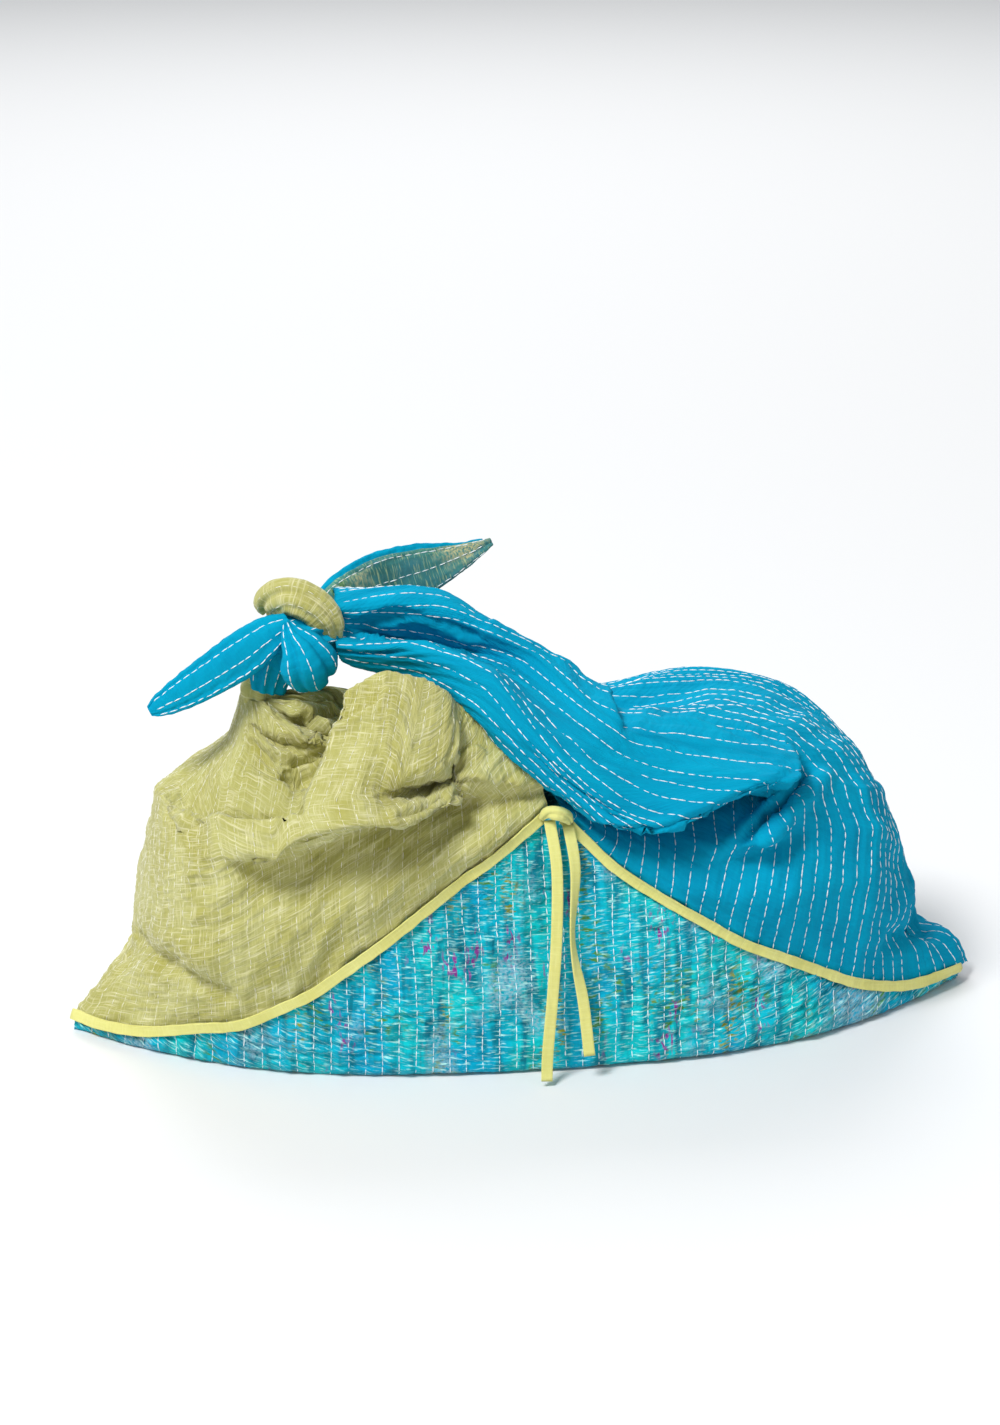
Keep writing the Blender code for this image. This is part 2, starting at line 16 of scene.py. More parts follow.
import bpy
import numpy as np
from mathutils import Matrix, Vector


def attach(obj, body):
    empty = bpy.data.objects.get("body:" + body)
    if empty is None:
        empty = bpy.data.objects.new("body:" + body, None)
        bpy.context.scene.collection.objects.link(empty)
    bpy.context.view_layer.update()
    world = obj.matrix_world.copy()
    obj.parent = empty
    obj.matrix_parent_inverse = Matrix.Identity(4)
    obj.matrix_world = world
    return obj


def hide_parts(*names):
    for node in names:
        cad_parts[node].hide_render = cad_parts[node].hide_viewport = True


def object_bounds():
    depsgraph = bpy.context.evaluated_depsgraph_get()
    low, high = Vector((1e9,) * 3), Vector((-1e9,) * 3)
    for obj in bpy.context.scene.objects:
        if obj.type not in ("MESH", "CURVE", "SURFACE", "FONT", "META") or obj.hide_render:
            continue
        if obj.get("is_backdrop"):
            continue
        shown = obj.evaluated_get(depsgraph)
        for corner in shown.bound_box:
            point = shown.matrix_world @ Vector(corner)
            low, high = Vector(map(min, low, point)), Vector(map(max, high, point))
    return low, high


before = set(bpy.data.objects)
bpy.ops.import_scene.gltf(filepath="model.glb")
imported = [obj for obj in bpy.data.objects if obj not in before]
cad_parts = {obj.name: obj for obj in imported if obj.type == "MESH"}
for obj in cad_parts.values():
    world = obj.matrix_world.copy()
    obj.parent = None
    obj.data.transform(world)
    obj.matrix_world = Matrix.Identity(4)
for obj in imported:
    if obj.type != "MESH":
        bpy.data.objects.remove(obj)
CAD_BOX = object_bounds()

LOG = logging.getLogger("knotted_bag")
MM = 0.001
BODY = "root"
TINY = 1e-9
Point = tuple[float, float, float]
Rows = Mapping[str, Sequence[Point]]


class Side(Enum):
    """The front or the back of the bag, as the sign of y."""

    FRONT = -1
    BACK = 1


# ---------------------------------------------------------------------------------------------
# Curves and grids
# ---------------------------------------------------------------------------------------------


def curve_at(points: np.ndarray, place: np.ndarray,
             sharp: np.ndarray | float = 0.0) -> np.ndarray:
    """Read a Hermite curve at fractional places along its points.

    The slope at a point is half of the step from the point before it to the one after, times
    1 - sharp: 0 gives the smooth Catmull-Rom curve, and 1 a corner between straight runs.

    Args:
        points: the control points, or whole rows of them, along the first axis.
        place: where to read, counted in points from the first.
        sharp: how sharply the curve turns at each point.

    Returns:
        One point, or one row of points, for each place.
    """
    points = np.asarray(points, dtype=float)
    extra = (1,) * (points.ndim - 1)
    slope = np.gradient(points, axis=0)
    slope = slope * (1 - np.broadcast_to(sharp, len(points)).reshape((-1,) + extra))
    first = np.clip(place.astype(int), 0, len(points) - 2)
    t = (place - first).reshape((-1,) + extra)
    return ((2 * t ** 3 - 3 * t ** 2 + 1) * points[first] + (t ** 3 - 2 * t ** 2 + t) * slope[first]
            + (3 * t ** 2 - 2 * t ** 3) * points[first + 1] + (t ** 3 - t ** 2) * slope[first + 1])


def unit(vectors: np.ndarray) -> np.ndarray:
    """Return vectors scaled to length one."""
    length = np.linalg.norm(vectors, axis=-1, keepdims=True)
    return vectors / np.maximum(length, TINY)


def lengths(points: np.ndarray) -> np.ndarray:
    """Return the distance along a line of points from its first to each of them."""
    steps = np.linalg.norm(np.diff(points, axis=0), axis=-1)
    return np.concatenate([[0.0], np.cumsum(steps)])


def read_line(place: np.ndarray, marks: np.ndarray, points: np.ndarray) -> np.ndarray:
    """Read a line of points, marked with rising numbers, at the places between its marks."""
    return np.stack([np.interp(place, marks, points[:, k]) for k in range(3)], axis=-1)


def grid_normals(grid: np.ndarray) -> np.ndarray:
    """Return the unit normal at each point of a grid: the cross product of its two slopes."""
    return unit(np.cross(np.gradient(grid, axis=0), np.gradient(grid, axis=1)))


def soften(grid: np.ndarray, times: int) -> np.ndarray:
    """Smooth a grid: each point becomes the mean of itself and the mean of its four neighbours."""
    for _ in range(times):
        wide = np.pad(grid, ((1, 1), (1, 1), (0, 0)), mode="edge")
        beside = wide[:-2, 1:-1] + wide[2:, 1:-1] + wide[1:-1, :-2] + wide[1:-1, 2:]
        grid = 0.5 * grid + 0.125 * beside
    return grid


FINE_STEPS = 40  # samples between two control points when a curve's length is measured


def even_places(points: np.ndarray, spacing: float,
                sharp: np.ndarray | float = 0.0) -> np.ndarray:
    """Return places along a curve, evenly spaced by distance, in an even number of steps."""
    fine = np.linspace(0, len(points) - 1, FINE_STEPS * (len(points) - 1) + 1)
    along = lengths(curve_at(points, fine, sharp))
    count = 2 * max(1, int(round(along[-1] / spacing / 2)))
    return np.interp(np.linspace(0, along[-1], count + 1), along, fine)


def ripple(s: np.ndarray, t: np.ndarray, wave: float, seed: int, turn: float = math.pi,
           count: int = 7) -> np.ndarray:
    """Return smooth noise: a sum of sine waves of like length in seeded directions.

    The lengths run from 0.65 to 1.45 of the mean one, and the sum is divided by the root of
    twice their count, so that most of the noise lies between -1 and 1.

    Args:
        s: the first cloth coordinate.
        t: the second cloth coordinate.
        wave: the mean wavelength.
        seed: picks the waves.
        turn: how far the waves' directions spread from the t axis, in radians.
        count: how many waves are summed.

    Returns:
        The noise at each point.
    """
    random = np.random.default_rng(seed)
    angle = math.pi / 2 + (random.random(count) - 0.5) * turn
    size = wave * (0.65 + 0.8 * random.random(count))
    phase = random.random(count) * 2 * math.pi
    total = sum(np.sin(2 * math.pi * (s * math.cos(a) + t * math.sin(a)) / w + p)
                for a, w, p in zip(angle, size, phase))
    return total / math.sqrt(count * 2)


def read_grid(grid: np.ndarray, row: np.ndarray, column: np.ndarray) -> np.ndarray:
    """Read a grid between its points, by mixing the four points round each place.

    Args:
        grid: values on a grid (rows, columns, size).
        row: the places' rows, whole or fractional.
        column: the places' columns, whole or fractional.

    Returns:
        One value of that size for each place.
    """
    inside = 1.001
    row = np.clip(row, 0, grid.shape[0] - inside)
    column = np.clip(column, 0, grid.shape[1] - inside)
    r, c = row.astype(int), column.astype(int)
    a, b = (row - r)[..., None], (column - c)[..., None]
    return ((grid[r, c] * (1 - a) + grid[r + 1, c] * a) * (1 - b)
            + (grid[r, c + 1] * (1 - a) + grid[r + 1, c + 1] * a) * b)


# ---------------------------------------------------------------------------------------------
# Meshes
# ---------------------------------------------------------------------------------------------


def add_object(name: str, data: bpy.types.ID) -> bpy.types.Object:
    """Add an object with this data to the scene, at the origin."""
    item = bpy.data.objects.new(name, data)
    bpy.context.scene.collection.objects.link(item)
    return item


def make_piece(name: str, vertices: np.ndarray, faces: np.ndarray | list[list[int]], slot: str,
               material: bpy.types.Material, cloth: np.ndarray | None = None) -> bpy.types.Object:
    """Make a smooth mesh piece that rides on the bag.

    Args:
        name: the piece's name.
        vertices: its points, in millimetres.
        faces: its faces, as an array where all have as many corners, or else as lists.
        slot: the record's material slot; not used.
        material: its finish.
        cloth: where each vertex lies on the flat cloth, in millimetres, for the pattern.

    Returns:
        The object, at the origin.
    """
    mesh = bpy.data.meshes.new(name)
    corners = faces if isinstance(faces, list) else faces.tolist()
    mesh.from_pydata((vertices * MM).tolist(), [], corners)
    if cloth is not None:
        corner = np.empty(len(mesh.loops), dtype=np.int32)
        mesh.loops.foreach_get("vertex_index", corner)
        mesh.uv_layers.new(name="cloth").data.foreach_set("uv", (cloth * MM)[corner].ravel())
    mesh.materials.append(material)
    mesh.shade_smooth()
    piece = add_object(name, mesh)
    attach(piece, BODY)
    LOG.info("%s: %d faces", name, len(faces))
    return piece


def quads(index: np.ndarray) -> np.ndarray:
    """Return the four corners of every cell of a grid of vertex numbers."""
    return np.stack([index[:-1, :-1], index[1:, :-1], index[1:, 1:], index[:-1, 1:]],
                    axis=-1).reshape(-1, 4)


def walls(index: np.ndarray) -> np.ndarray:
    """Return the four corners of every face between the rings (rings, points) of a tube."""
    after = np.roll(index, -1, axis=1)
    return np.stack([index[:-1], after[:-1], after[1:], index[1:]], axis=-1).reshape(-1, 4)


def rim(index: np.ndarray) -> np.ndarray:
    """Return the vertex numbers round the edge of a grid, in order."""
    return np.concatenate([index[0, :], index[1:, -1], index[-1, -2::-1], index[-2:0:-1, 0]])


def closed_sheet(outer: np.ndarray, thickness: float, cloth: np.ndarray,
                 ) -> tuple[np.ndarray, list[list[int]], np.ndarray]:
    """Close a grid into a sheet: an inner face set inward along the normals, and a rim.

    The inner face, which the bag hides, keeps every second row and column.  It lies deeper in
    a valley, by the height of the neighbours' mean over the point, to keep it from coming
    through.

    Args:
        outer: the outer face (rows, columns, 3), an even number of cells each way.
        thickness: the sheet's thickness.
        cloth: the cloth coordinates of each point (rows, columns, 2).

    Returns:
        Vertices, faces and cloth coordinates of the closed sheet.
    """
    normal = outward(outer)
    wide = np.pad(outer, ((2, 2), (2, 2), (0, 0)), mode="edge")
    around = (wide[:-4, 2:-2] + wide[4:, 2:-2] + wide[2:-2, :-4] + wide[2:-2, 4:]) / 4
    valley = np.clip(np.sum((around - outer) * normal, axis=-1), 0, 2 * thickness)
    inner = (outer - normal * (thickness + valley[..., None]))[::2, ::2]
    index = np.arange(outer[..., 0].size).reshape(outer.shape[:2])
    under = index.size + np.arange(inner[..., 0].size).reshape(inner.shape[:2])
    fine, coarse = rim(index), rim(under)
    edge = np.stack([np.roll(fine, -2)[::2], np.roll(fine, -1)[::2], fine[::2], coarse,
                     np.roll(coarse, -1)], axis=-1)
    cells = np.concatenate([quads(index), quads(under)[:, ::-1]])
    middle = (index.shape[0] // 2, index.shape[1] // 2)
    if np.dot(grid_normals(outer)[middle], normal[middle]) < 0:
        cells, edge = cells[:, ::-1], edge[:, ::-1]
    vertices = np.concatenate([outer.reshape(-1, 3), inner.reshape(-1, 3)])
    flat = np.concatenate([cloth.reshape(-1, 2), cloth[::2, ::2].reshape(-1, 2)])
    return vertices, cells.tolist() + edge.tolist(), flat


def oval(angle: np.ndarray, power: float) -> tuple[np.ndarray, np.ndarray]:
    """Return a point of an oval at each angle: below a power of 1 it is squarer than a circle."""
    cosine, sine = np.cos(angle), np.sin(angle)
    return np.sign(cosine) * np.abs(cosine) ** power, np.sign(sine) * np.abs(sine) ** power


def tube_cloth(across: np.ndarray, along: np.ndarray) -> np.ndarray:
    """Return a tube's cloth coordinates: across its cloth for each side, along it for each ring."""
    return np.stack(np.broadcast_arrays(across[None], along[:, None]), axis=-1)


def outward(grid: np.ndarray) -> np.ndarray:
    """Find a grid's unit normals, turned away from its middle."""
    normal = grid_normals(grid)
    if np.sum(normal * (grid - grid.mean(axis=(0, 1)))) < 0:
        return -normal
    return normal


def closed_tube(rings: np.ndarray, cloth: np.ndarray) -> tuple[np.ndarray, np.ndarray, np.ndarray]:
    """Close a stack of rings into a tube, with a fan of quads round a middle point at each end.

    Args:
        rings: the rings (rings, points, 3), an even number of points each.
        cloth: the cloth coordinates of each point (rings, points, 2).

    Returns:
        Vertices, faces and cloth coordinates of the closed tube.
    """
    count, sides = rings.shape[:2]
    index = np.arange(count * sides).reshape(count, sides)
    first, last = count * sides, count * sides + 1
    half = sides // 2
    pair = np.arange(half) * 2
    start = np.stack([np.full(half, first), index[0, (pair + 2) % sides], index[0, pair + 1],
                      index[0, pair]], axis=-1)
    end = np.stack([np.full(half, last), index[-1, pair], index[-1, pair + 1],
                    index[-1, (pair + 2) % sides]], axis=-1)
    vertices, flat = (
        np.concatenate([rows.reshape(count * sides, -1), rows[:1].mean(axis=1),
                        rows[-1:].mean(axis=1)]) for rows in (rings, cloth))
    return vertices, np.concatenate([walls(index), start, end]), flat


# The four rings of a stitch: their place along it, and their shares of its width and height.
RING_SHARES = np.array([[0.0, 0.45, 0.1], [0.3, 1.0, 1.0], [0.7, 1.0, 1.0], [1.0, 0.45, 0.1]])


@dataclass(frozen=True)
class Stitching:
    """Running stitch: dashes of thread along quilting rows.

    A stitch is a short spindle: four rings of four points, narrow at both ends, whose middle
    stands proud of the cloth and whose ends sink into it.

    Attributes:
        name: the name of the piece that holds the stitches.
        slot: the record's material slot.
        length: a stitch's length.
        gap: the gap to the next stitch.
        width: the thread's width.
        seed: picks how the stitches vary.
        rise: how far a stitch stands proud, as a share of its width.
        sunk: how deep its lower side lies, as a share of its rise.
        keel: how much deeper the middle of its lower side lies.
        start_spread: how far a stitch starts from its place, as a share of the pitch.
        length_spread: how much the lengths differ, as a share of the length.
        sway: how far a stitch lies beside its row.
    """

    name: str
    slot: str
    length: float
    gap: float
    width: float
    seed: int
    rise: float = 0.45
    sunk: float = 0.35
    keel: float = 1.5
    start_spread: float = 0.08
    length_spread: float = 0.09
    sway: float = 0.12

    def make(self, lines: list[np.ndarray], normals: list[np.ndarray],
             material: bpy.types.Material) -> bpy.types.Object:
        """Sew every row.

        Args:
            lines: the points of each row, on the cloth.
            normals: the cloth's normal at each of those points.
            material: the thread's finish.

        Returns:
            One piece that holds all the stitches.
        """
        random = np.random.default_rng(self.seed)
        share, breadth, swell = RING_SHARES.T
        pitch = self.length + self.gap
        spots, ups = [], []
        for line, normal in zip(lines, normals):
            along = lengths(line)
            start = np.arange(self.gap, along[-1] - self.length, pitch)
            start = start + random.normal(0, self.start_spread, len(start)) * pitch
            long = self.length * (1 + random.normal(0, self.length_spread, len(start)))
            reach = start[:, None] + long[:, None] * share
            sway = random.normal(0, self.sway, (len(start), 1, 1))
            beside = unit(np.cross(normal[0], line[-1] - line[0]))
            spots.append(read_line(reach, along, line) + sway * beside)
            ups.append(unit(read_line(reach, along, normal)))
        spot, up = np.concatenate(spots), np.concatenate(ups)
        forward = unit(np.gradient(spot, axis=1))
        across = unit(np.cross(up, forward))
        height = self.width * self.rise
        wide = breadth[None, :, None] * self.width / 2
        high = swell[None, :, None] * height
        low = -self.sunk * height
        rings = np.stack([spot + across * wide + up * low, spot + up * high,
                          spot - across * wide + up * low, spot + up * low * self.keel], axis=2)
        ring = np.arange(rings[0, ..., 0].size).reshape(rings.shape[1:3])
        stitch = np.concatenate([walls(ring), ring[:1, ::-1], ring[-1:]])
        faces = stitch[None] + (np.arange(len(rings)) * ring.size)[:, None, None]
        return make_piece(self.name, rings.reshape(-1, 3), faces.reshape(-1, 4)[:, ::-1],
                          self.slot, material)


# ---------------------------------------------------------------------------------------------
# Finishes
# ---------------------------------------------------------------------------------------------


def linear(colour: str) -> tuple[float, float, float, float]:
    """Turn a hex colour into linear red, green, blue and alpha, by the sRGB standard's curve."""
    shares = [int(colour[k:k + 2], 16) / 255 for k in (1, 3, 5)]
    curve = [s / 12.92 if s <= 0.04045 else ((s + 0.055) / 1.055) ** 2.4 for s in shares]
    return (*curve, 1.0)


def add_node(tree: bpy.types.NodeTree, kind: str, settings: Mapping[str, object] | None = None,
             links: Mapping[str | int, bpy.types.NodeSocket] | None = None) -> bpy.types.Node:
    """Add a node with its settings and links.

    Args:
        tree: the node tree.
        kind: the node's type.
        settings: values by the name of an input, or else of a property.
        links: sockets to join to inputs, by the input's name or number.

    Returns:
        The node.
    """
    node = tree.nodes.new(kind)
    for name, value in (settings or {}).items():
        if hasattr(node, name):
            setattr(node, name, value)
        else:
            node.inputs[name].default_value = value
    for name, socket in (links or {}).items():
        tree.links.new(socket, node.inputs[name])
    return node


def mixed(tree: bpy.types.NodeTree, factor: bpy.types.NodeSocket,
          first: str | bpy.types.NodeSocket,
          second: str | bpy.types.NodeSocket) -> bpy.types.NodeSocket:
    """Mix two colours.

    Args:
        tree: the node tree.
        factor: the share of the second colour.
        first: a hex colour, or a socket that gives one.
        second: the same.

    Returns:
        The mixture.
    """
    node = add_node(tree, "ShaderNodeMix", {"data_type": "RGBA"}, {0: factor})
    for number, colour in ((6, first), (7, second)):
        if isinstance(colour, str):
            node.inputs[number].default_value = linear(colour)
        else:
            tree.links.new(colour, node.inputs[number])
    return node.outputs[2]


def stepped(tree: bpy.types.NodeTree, value: bpy.types.NodeSocket, low: float,
            high: float) -> bpy.types.NodeSocket:
    """Stretch a value so that low becomes 0 and high becomes 1, with nothing beyond."""
    return add_node(tree, "ShaderNodeMapRange", {"From Min": low, "From Max": high},
                    {"Value": value}).outputs["Result"]


def new_material(name: str,
                 values: Mapping[str, object]) -> tuple[bpy.types.Material, bpy.types.Node]:
    """Start a material with these values on its shader, and return both."""
    material = bpy.data.materials.new(name)
    material.use_nodes = True
    shader = material.node_tree.nodes["Principled BSDF"]
    for socket, value in values.items():
        shader.inputs[socket].default_value = value
    return material, shader


@dataclass(frozen=True)
class Noise:
    """Noise that follows the cloth, by the distance across and along its rows.

    Attributes:
        size: the size of its cells across the rows, along them and in depth, in millimetres.
        low: the noise at which its share is 0.
        high: the noise at which its share is 1.
        detail: how many finer layers it has.
        distortion: how far its cells are bent.
        shift: picks another part of the noise.
    """

    size: Point
    low: float = 0.0
    high: float = 1.0
    detail: float = 3.0
    distortion: float = 0.0
    shift: float = 0.0

    def raw(self, tree: bpy.types.NodeTree) -> bpy.types.NodeSocket:
        """Add the noise, from 0 to 1."""
        uv = add_node(tree, "ShaderNodeUVMap", {"uv_map": "cloth"})
        scale = tuple(1 / (MM * size) for size in self.size)
        place = add_node(tree, "ShaderNodeMapping",
                         {"Scale": scale, "Location": (self.shift, self.shift * 1.7, 0)},
                         {"Vector": uv.outputs[0]})
        return add_node(tree, "ShaderNodeTexNoise",
                        {"Scale": 1.0, "Detail": self.detail, "Distortion": self.distortion},
                        {"Vector": place.outputs[0]}).outputs["Fac"]

    def share(self, tree: bpy.types.NodeTree) -> bpy.types.NodeSocket:
        """Add the noise, stretched from low to high."""
        return stepped(tree, self.raw(tree), self.low, self.high)


WAVE_PERIOD = 2 * math.pi / 20  # the period of the wave texture's bands at scale 1


@dataclass(frozen=True)
class Cotton:
    """Plain-woven cotton, dyed in the piece and washed.

    Its fibres scatter the light, so it is matt, with hardly any gloss and at most a faint sheen.
    Thick and thin places in the thread, the slubs, show as pale streaks both ways, and the dye
    lies a little deeper in some patches.  Washing leaves small wrinkles between the stitches.
    Its threads lie about 0.4 mm apart, too fine to show, so the weave is drawn as coarser ribs.

    Attributes:
        name: the material's name.
        colour: the dye.
        pale: the slubs.
        deep: the patches that took more dye.
        slub: how strongly the slubs show.
        wrinkle: how strongly the wrinkles show.
        sheen: the sheen of loose fibres.
        roughness: how matt the fibres are.
        specular: how much they reflect.
        sheen_roughness: how wide the sheen spreads.
        rib: the distance between the drawn ribs of the weave.
        rib_height: the height of the ribs.
        rib_strength: how strongly they show.
        wrinkle_height: the height of the wrinkles.
        patches: the deeper patches.
        slubs_across: the slubs that lie across the rows.
        slubs_along: the slubs that lie along the rows.
        wrinkles: the wrinkles.
    """

    name: str
    colour: str
    pale: str
    deep: str
    slub: float = 0.3
    wrinkle: float = 0.35
    sheen: float = 0.25
    roughness: float = 0.9
    specular: float = 0.08
    sheen_roughness: float = 0.5
    rib: float = 3.4558
    rib_height: float = 0.25
    rib_strength: float = 0.35
    wrinkle_height: float = 1.2
    patches: Noise = Noise((22, 30, 30), 0.35, 0.7)
    slubs_across: Noise = Noise((14, 0.8, 1), 0.5, 0.75, shift=4.1)
    slubs_along: Noise = Noise((0.8, 14, 1), 0.52, 0.78, shift=9.3)
    wrinkles: Noise = Noise((5.0, 2.2, 2.0), detail=4.0, distortion=0.4, shift=2.2)

    def weave(self, tree: bpy.types.NodeTree) -> bpy.types.NodeSocket:
        """Add the weave's height: the sum of ribs both ways, a little uneven."""
        uv = add_node(tree, "ShaderNodeUVMap", {"uv_map": "cloth"})
        scale = WAVE_PERIOD / (MM * self.rib)
        ribs = {number: add_node(
            tree, "ShaderNodeTexWave",
            {"Scale": scale, "Distortion": 0.6, "Detail": 1.0, "bands_direction": direction},
            {"Vector": uv.outputs[0]}).outputs["Fac"] for number, direction in enumerate("XY")}
        return add_node(tree, "ShaderNodeMath", {"operation": "ADD"}, ribs).outputs[0]

    def base(self, tree: bpy.types.NodeTree) -> bpy.types.NodeSocket:
        """Add the colour: the dye, with paler slubs both ways and deeper patches."""
        body = mixed(tree, self.patches.share(tree), self.colour, self.deep)
        slubs = add_node(tree, "ShaderNodeMath", {"operation": "MAXIMUM"},
                         {0: self.slubs_across.share(tree), 1: self.slubs_along.share(tree)})
        faint = add_node(tree, "ShaderNodeMath", {"operation": "MULTIPLY", "use_clamp": True},
                         {0: slubs.outputs[0]})
        faint.inputs[1].default_value = self.slub
        return mixed(tree, faint.outputs[0], body, self.pale)

    def make(self) -> bpy.types.Material:
        """Build the material."""
        material, shader = new_material(self.name, {
            "Roughness": self.roughness, "Specular IOR Level": self.specular,
            "Sheen Weight": self.sheen, "Sheen Roughness": self.sheen_roughness})
        tree = material.node_tree
        tree.links.new(self.base(tree), shader.inputs["Base Color"])
        fine = add_node(tree, "ShaderNodeBump",
                        {"Strength": self.rib_strength, "Distance": MM * self.rib_height},
                        {"Height": self.weave(tree)})
        coarse = add_node(tree, "ShaderNodeBump",
                          {"Strength": self.wrinkle, "Distance": MM * self.wrinkle_height},
                          {"Height": self.wrinkles.raw(tree), "Normal": fine.outputs[0]})
        tree.links.new(coarse.outputs[0], shader.inputs["Normal"])
        return material


# The cells and the regions of the lilac patches, then of the green, olive and violet flecks.
SPECKLES = (
    (Noise((1.6, 1.2, 1), 0.38, 0.62, 4, shift=3.3),
     Noise((30, 48, 30), 0.56, 0.64, 5, shift=11.7)),
    (Noise((5, 2.0, 1), 0.52, 0.6, shift=21), Noise((26, 50, 30), 0.55, 0.62, 4, shift=24)),
    (Noise((4, 1.4, 1), 0.52, 0.6, shift=34), Noise((18, 60, 30), 0.56, 0.63, 4, shift=37)),
    (Noise((1.8, 5, 1), 0.52, 0.6, shift=47), Noise((16, 40, 30), 0.58, 0.65, 4, shift=50)),
)


@dataclass(frozen=True)
class PatternedCotton(Cotton):
    """Cotton printed in many soft colours, quilted and washed until the print broke up.

    It shows clouds of turquoise and blue, darker teal bands along the rows (the print's teal, with
    painted shade of the folds between the rows), worn lilac patches, flecks of green, olive and
    violet, and a pale mottle where the crests of the puckers have rubbed.

    Attributes:
        blue: the clouds.
        green: flecks that lie across the rows.
        violet: flecks that lie along them.
        lilac: the worn patches.
        olive: small flecks.
        clouds: the noise of the clouds.
        runs: the noise of the darker teal bands: print, and painted shade of the folds along the
            rows.
        mottle: the noise of the pale mottle.
    """

    blue: str = "#00A2C6"
    green: str = "#4D8A45"
    violet: str = "#8C3F92"
    lilac: str = "#8FB6C6"
    olive: str = "#8E9438"
    clouds: Noise = Noise((34, 60, 30), 0.42, 0.6, 4, shift=1.3)
    runs: Noise = Noise((7, 36, 9), 0.46, 0.64, 6, 0.6, 5)
    mottle: Noise = Noise((5.5, 0.9, 1), 0.54, 0.72, 5, 0.3, 8)

    def base(self, tree: bpy.types.NodeTree) -> bpy.types.NodeSocket:
        """Add the print: clouds, teal runs with painted fold shade, patches, flecks, and the mottle
        over it.

        A patch or a fleck shows where both its cells and its regions do.
        """
        colour = mixed(tree, self.clouds.share(tree), self.colour, self.blue)
        # Darker teal bands along the rows: the print's teal, and painted shade of the folds between
        # the rows.
        colour = mixed(tree, self.runs.share(tree), colour, self.deep)
        tints = (self.lilac, self.green, self.olive, self.violet)
        for tint, (cells, regions) in zip(tints, SPECKLES):
            both = add_node(tree, "ShaderNodeMath", {"operation": "MULTIPLY"},
                            {0: cells.share(tree), 1: regions.share(tree)}).outputs[0]
            colour = mixed(tree, both, colour, tint)
        return mixed(tree, self.mottle.share(tree), colour, self.pale)


@dataclass(frozen=True)
class Thread:
    """Six-stranded cotton thread, loosely twisted: soft and matt, with painted highlights on its
    twist.

    Attributes:
        name: the material's name.
        colour: the thread.
        roughness: how matt it is.
        sheen: the sheen of loose fibres.
        twist: the size of the painted highlights on the twist and of the places between them.
        crest: the colour of the painted highlights on the crests of the twist.
    """

    name: str
    colour: str
    roughness: float = 0.75
    sheen: float = 0.2
    twist: float = 1.1111
    crest: str = "#FFFFFF"

    def make(self) -> bpy.types.Material:
        """Build the material."""
        material, shader = new_material(
            self.name, {"Roughness": self.roughness, "Sheen Weight": self.sheen})
        tree = material.node_tree
        place = add_node(tree, "ShaderNodeTexCoord")
        twist = add_node(tree, "ShaderNodeTexNoise",
                         {"Scale": 1 / (MM * self.twist), "Detail": 2.0},
                         {"Vector": place.outputs["Object"]})
        # A noise mixes the thread towards the crest colour at random places: painted highlights on
        # the twist.
        painted_highlight = stepped(tree, twist.outputs["Fac"], 0.3, 0.8)
        tree.links.new(mixed(tree, painted_highlight, self.colour, self.crest), shader.inputs["Base Color"])
        return material


# Smooth cyan cotton, evenly dyed.
CYAN_CLOTH = Cotton("cyan_cotton", "#009ABE", "#00AECE", "#008CB2", sheen=0.0)
# Lime chambray, woven with a white weft: pale threads show all over it both ways.
LIME_CLOTH = Cotton("lime_chambray", "#B5B36F", "#E2DEB6", "#A39F50", slub=0.85, wrinkle=0.6)
# The base, puckered hard by its close rows, so that its wrinkles show most.
# Its deep colour is that of the teal bands along the rows, which are partly painted fold shade.
BASE_CLOTH = PatternedCotton("printed_cotton", "#08C0C6", "#B8F2EA", "#047C92", wrinkle=1.0,
                             sheen=0.1)
# Bias tape, folded and ironed flat: smoother than the rest.
TAPE_CLOTH = Cotton("tape_cotton", "#DDDA86", "#EEECB0", "#D2CE74", wrinkle=0.25)
# The print's reverse, where the dye has gone part of the way through: duller and greener.
# Its deep colour is that of the teal bands along the rows, which are partly painted fold shade.
REVERSE_CLOTH = PatternedCotton("printed_reverse", "#4F8C7C", "#A7B98B", "#2E6A66",
                                blue="#3E7F86", lilac="#C9C08E", green="#55803F",
                                violet="#3F7A72", olive="#C8BF86")
# Bleached thread on the cyan and the base, unbleached thread on the lime.
WHITE_THREAD = Thread("white_thread", "#E9F2F4")
CREAM_THREAD = Thread("cream_thread", "#DAD9B2")


# ---------------------------------------------------------------------------------------------
# The squares of cloth
# ---------------------------------------------------------------------------------------------


